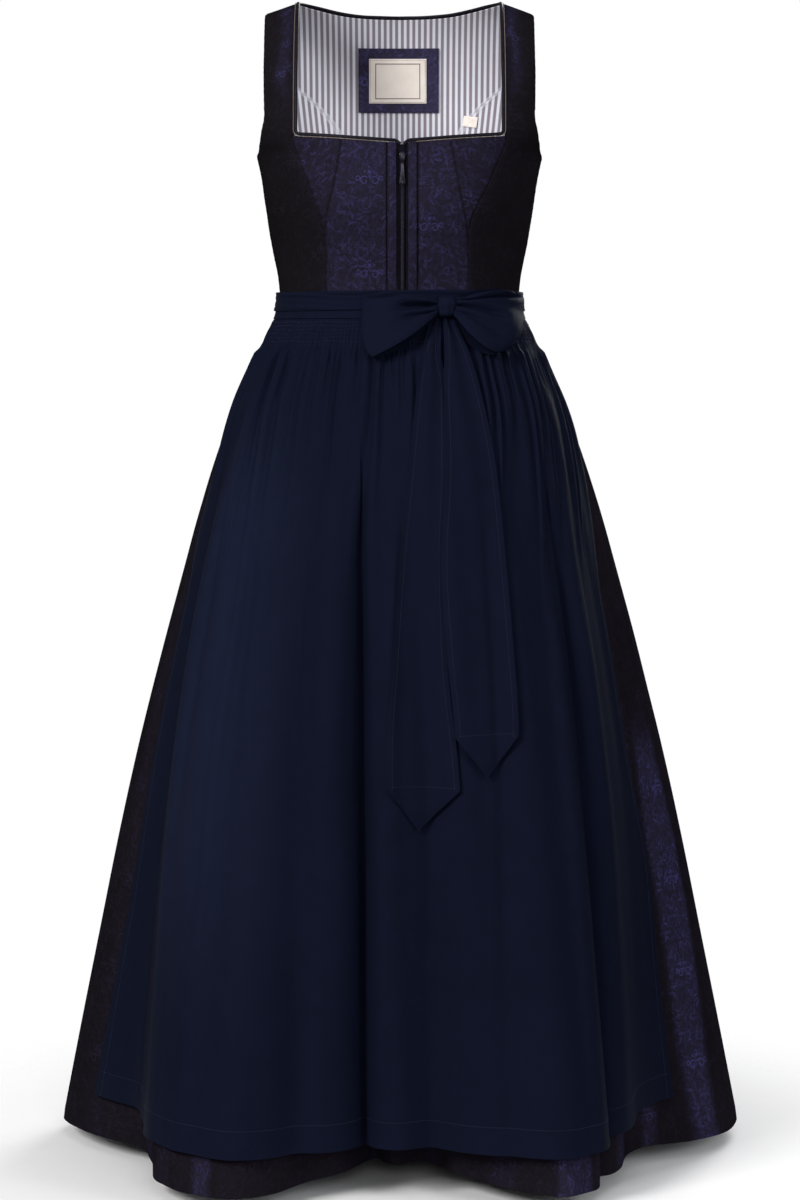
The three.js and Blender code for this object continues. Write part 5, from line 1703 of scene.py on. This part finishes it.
def label(name, slot, material):
    row = LABELS[name]
    half_wide, half_high = row["half"]
    v, u = grid(mix(1, -1, lipped(22, 0.03)), mix(-1, 1, lipped(34, 0.02)))
    base = LINING_OFF + THIN + row["depth"]
    edge = np.minimum((1 - np.abs(u)) * half_wide, (1 - np.abs(v)) * half_high)
    curled = 0.25 * np.sin(u * 4 + 1) * np.sin(v * 3) + 0.3 * turned_edge(edge, 1.0, 1.0)
    face = label_place(row, u, v, base + 0.7 + curled)
    back = label_place(row, u, v, np.full(u.shape, base))
    uv = np.stack([u * half_wide, v * half_high], -1)
    # Full painted sheen on each label; only the patch's brocade reads it
    piece = painted(cloth(name + "_cloth", face, back, uv, material), "painted_sheen", np.ones(u.shape))
    return dress_piece(piece, name, slot)


# Stitching

def apron_stitches():
    """Shirring rows, the deep hem and the narrow side hems of the apron."""
    shirring = []
    for row in range(SHIRRING["rows"]):
        s = spread(0.06 + 0.012 * (row % 3), 0.93 - 0.01 * (row % 2), 500)
        wavering = 0.5 * np.sin(s * 47 + row) + 0.3 * np.sin(s * 113 + 2 * row)
        shirring.append(apron_place(s, SHIRRING["top"] - SHIRRING["step"] * row + wavering, 0.1))
    stitched("shirring_stitches", shirring, SHIRRING_THREAD, "apron_cloth", 2.5, 1.0, 0.34)
    s = spread(0.004, 0.996, 500)
    hem = [apron_place(s, np.full(s.shape, HEM_Z + 32.0), 0.1)]
    level = spread(GATHER_Z - 4, HEM_Z + 2, 400)
    sides = [apron_place(np.full(level.shape, share), level, 0.1) for share in (0.006, 0.994)]
    return stitched("apron_hem_stitches", hem + sides, NAVY_THREAD, "apron_cloth", 3.2, 2.5, 0.28)


def tail_stitches():
    """Narrow hems down both edges of each tail, and the facing's line across its point."""
    paths = []
    for name, tail in TAILS.items():
        left_z, right_z = (tail["corners"][edge][0] for edge in ("left", "right"))
        z = spread(tail["rows"]["z"].max() - 12, max(left_z, right_z), 260)
        inset = 5.5 / (tail_edge(tail, "right", z) - tail_edge(tail, "left", z))
        paths += [tail_place(name, inset, z, THIN + 0.1), tail_place(name, 1 - inset, z, THIN + 0.1)]
        s = spread(0.08, 0.92, 60)
        paths.append(tail_place(name, s, mix(left_z, right_z, s) + 2, THIN + 0.1))
    return stitched("tail_stitches", paths, NAVY_THREAD, "apron_cloth", 3.0, 2.3, 0.26)


def label_stitches():
    """A line of stitches just inside the edge of the patch and of the label."""
    paths = []
    for name, inset in (("label_patch", 1.6), ("label", 1.2)):
        row = LABELS[name]
        half_wide, half_high = row["half"]
        u_edge, v_edge = 1 - inset / half_wide, 1 - inset / half_high
        u = np.interp(spread(0, 4, 240), range(5), [-1, 1, 1, -1, -1]) * u_edge
        v = np.interp(spread(0, 4, 240), range(5), [1, 1, -1, -1, 1]) * v_edge
        paths.append(label_place(row, u, v, LINING_OFF + THIN + row["depth"] + 0.8))
    return stitched("label_stitches", paths, DARK_THREAD, "label_cloth", 2.4, 1.8, 0.22)


def tuck_stitches():
    """The line that holds each tuck down."""
    z = spread(-172, FOOT_Z + 2, 160)
    fall = fall_of(z)
    from_zip = TUCK["near"] + 1.2
    rise = tuck(np.full(z.shape, from_zip), z) + 0.1
    paths = [lifted(bodice_point, angle_at(ZIP_X + side * from_zip, fall), fall, rise) for side in SIDES]
    return stitched("tuck_stitches", paths, DARK_THREAD, "brocade", 2.6, 1.9, 0.2)


# Stage

CAMERA = {"back": 3.4, "z": -0.3831, "pitch": 4.6, "focal_px": 3063, "photo_high": 1200, "sensor": 36}


def camera():
    """Stands where the photo was taken from, a little above the middle of the dress and tipped down."""
    lens = bpy.data.cameras.new("camera")
    lens.sensor_fit = "VERTICAL"
    lens.sensor_height = CAMERA["sensor"]
    lens.lens = CAMERA["sensor"] * CAMERA["focal_px"] / CAMERA["photo_high"]
    lens.clip_end = 50
    lens.shift_x = 0.5 / CAMERA["photo_high"]
    stand = bpy.data.objects.new("camera", lens)
    stand.location = (0, -CAMERA["back"], CAMERA["z"])
    stand.rotation_euler = (math.radians(90 - CAMERA["pitch"]), 0, 0)
    bpy.context.scene.collection.objects.link(stand)
    bpy.context.scene.camera = stand


FLOOR = {"z": -1.262, "radius": 0.8, "fade": (0.3, 0.7)}
SURROUNDINGS = 0.22


# Each lamp's name, place and size in metres, its power in watts and its colour
LAMPS = [
    ("front_light", (-2.3, -2.7, 1.1), (1.2, 1.4), 132, (1, 0.99, 0.98)),
    ("fill_light", (0.2, -3.9, 0.3), (1.4, 1.0), 20, (1, 1, 1)),
    ("top_light", (0.3, -2.2, 2.2), (1.6, 1.2), 18, (1, 1, 1)),
    ("side_light", (2.8, -1.9, 0.2), (1.0, 1.6), 38, (0.96, 0.98, 1)),
    ("back_light", (1.9, 3.4, 1.4), (2.0, 1.6), 150, (1, 1, 1)),
]
AIM = Vector((0, 0, -0.6))


def studio_floor():
    """A pale round floor that fades into the white room."""
    material, nodes = blank_material("studio floor")
    where = nodes.in_space()
    color = nodes.blend(nodes.noise(where, 30, 3.0), rgb(238, 238, 239), rgb(242, 242, 243))
    paper = nodes.out("ShaderNodeBsdfDiffuse", {"Color": color})
    away = nodes.add("ShaderNodeVectorMath", {0: where}, operation="LENGTH").outputs["Value"]
    clear = nodes.out("ShaderNodeBsdfTransparent")
    fading = nodes.smooth(away, *FLOOR["fade"])
    faded = nodes.out("ShaderNodeMixShader", {0: fading, 1: paper, 2: clear})
    nodes.add("ShaderNodeOutputMaterial", {"Surface": faded})
    turn = spread(0, 2 * math.pi, 97)[:-1]
    rim = np.stack([np.cos(turn), np.sin(turn), 0 * turn], -1) * FLOOR["radius"] / MM
    floor = mesh_object("studio_floor", rim, [range(len(turn))], None, material)
    floor.location.z = FLOOR["z"]


def studio_room():
    """White to the camera, and a dim light on the dress."""
    world = bpy.data.worlds.new("studio")
    world.use_nodes = True
    world.node_tree.nodes.clear()
    nodes = Nodes(world.node_tree)
    seen = nodes.add("ShaderNodeLightPath").outputs["Is Camera Ray"]
    strength = nodes.scaled(seen, SURROUNDINGS, 1.0)
    white = nodes.out("ShaderNodeBackground", {"Color": (1, 1, 1, 1), "Strength": strength})
    nodes.add("ShaderNodeOutputWorld", {"Surface": white})
    bpy.context.scene.world = world
    bpy.context.scene.view_settings.view_transform = "Standard"


def lamp(name, place, size, power, color):
    light = bpy.data.lights.new(name, "AREA")
    light.shape = "RECTANGLE"
    light.size, light.size_y = size
    light.energy = power
    light.color = color
    stand = bpy.data.objects.new(name, light)
    stand.location = place
    stand.rotation_euler = (AIM - Vector(place)).to_track_quat("-Z", "Y").to_euler()
    bpy.context.scene.collection.objects.link(stand)


camera()
studio_floor()
studio_room()
for row in LAMPS:
    lamp(*row)

for side in SIDES:
    front_centre(side)
    front_inset(side)
    front_side(side)
    back_side(side)
    bow_loop(side)
back_centre()
back_lining()
neck_piping()
neck_braid()
zip_strip()
zip_coil()
zip_slider()
zip_pull()
for name in SKIRTS:
    skirt(name)
apron()
apron_band()
apron_tie()
bow_knot()
for name in TAILS:
    bow_tail(name)
label("label_patch", "brocade", BRIGHTENED_PATCH_BROCADE)
label("label", "label_cloth", LABEL_CLOTH)
label("size_tag", "label_cloth", TAG_CLOTH)
apron_stitches()
tail_stitches()
label_stitches()
tuck_stitches()
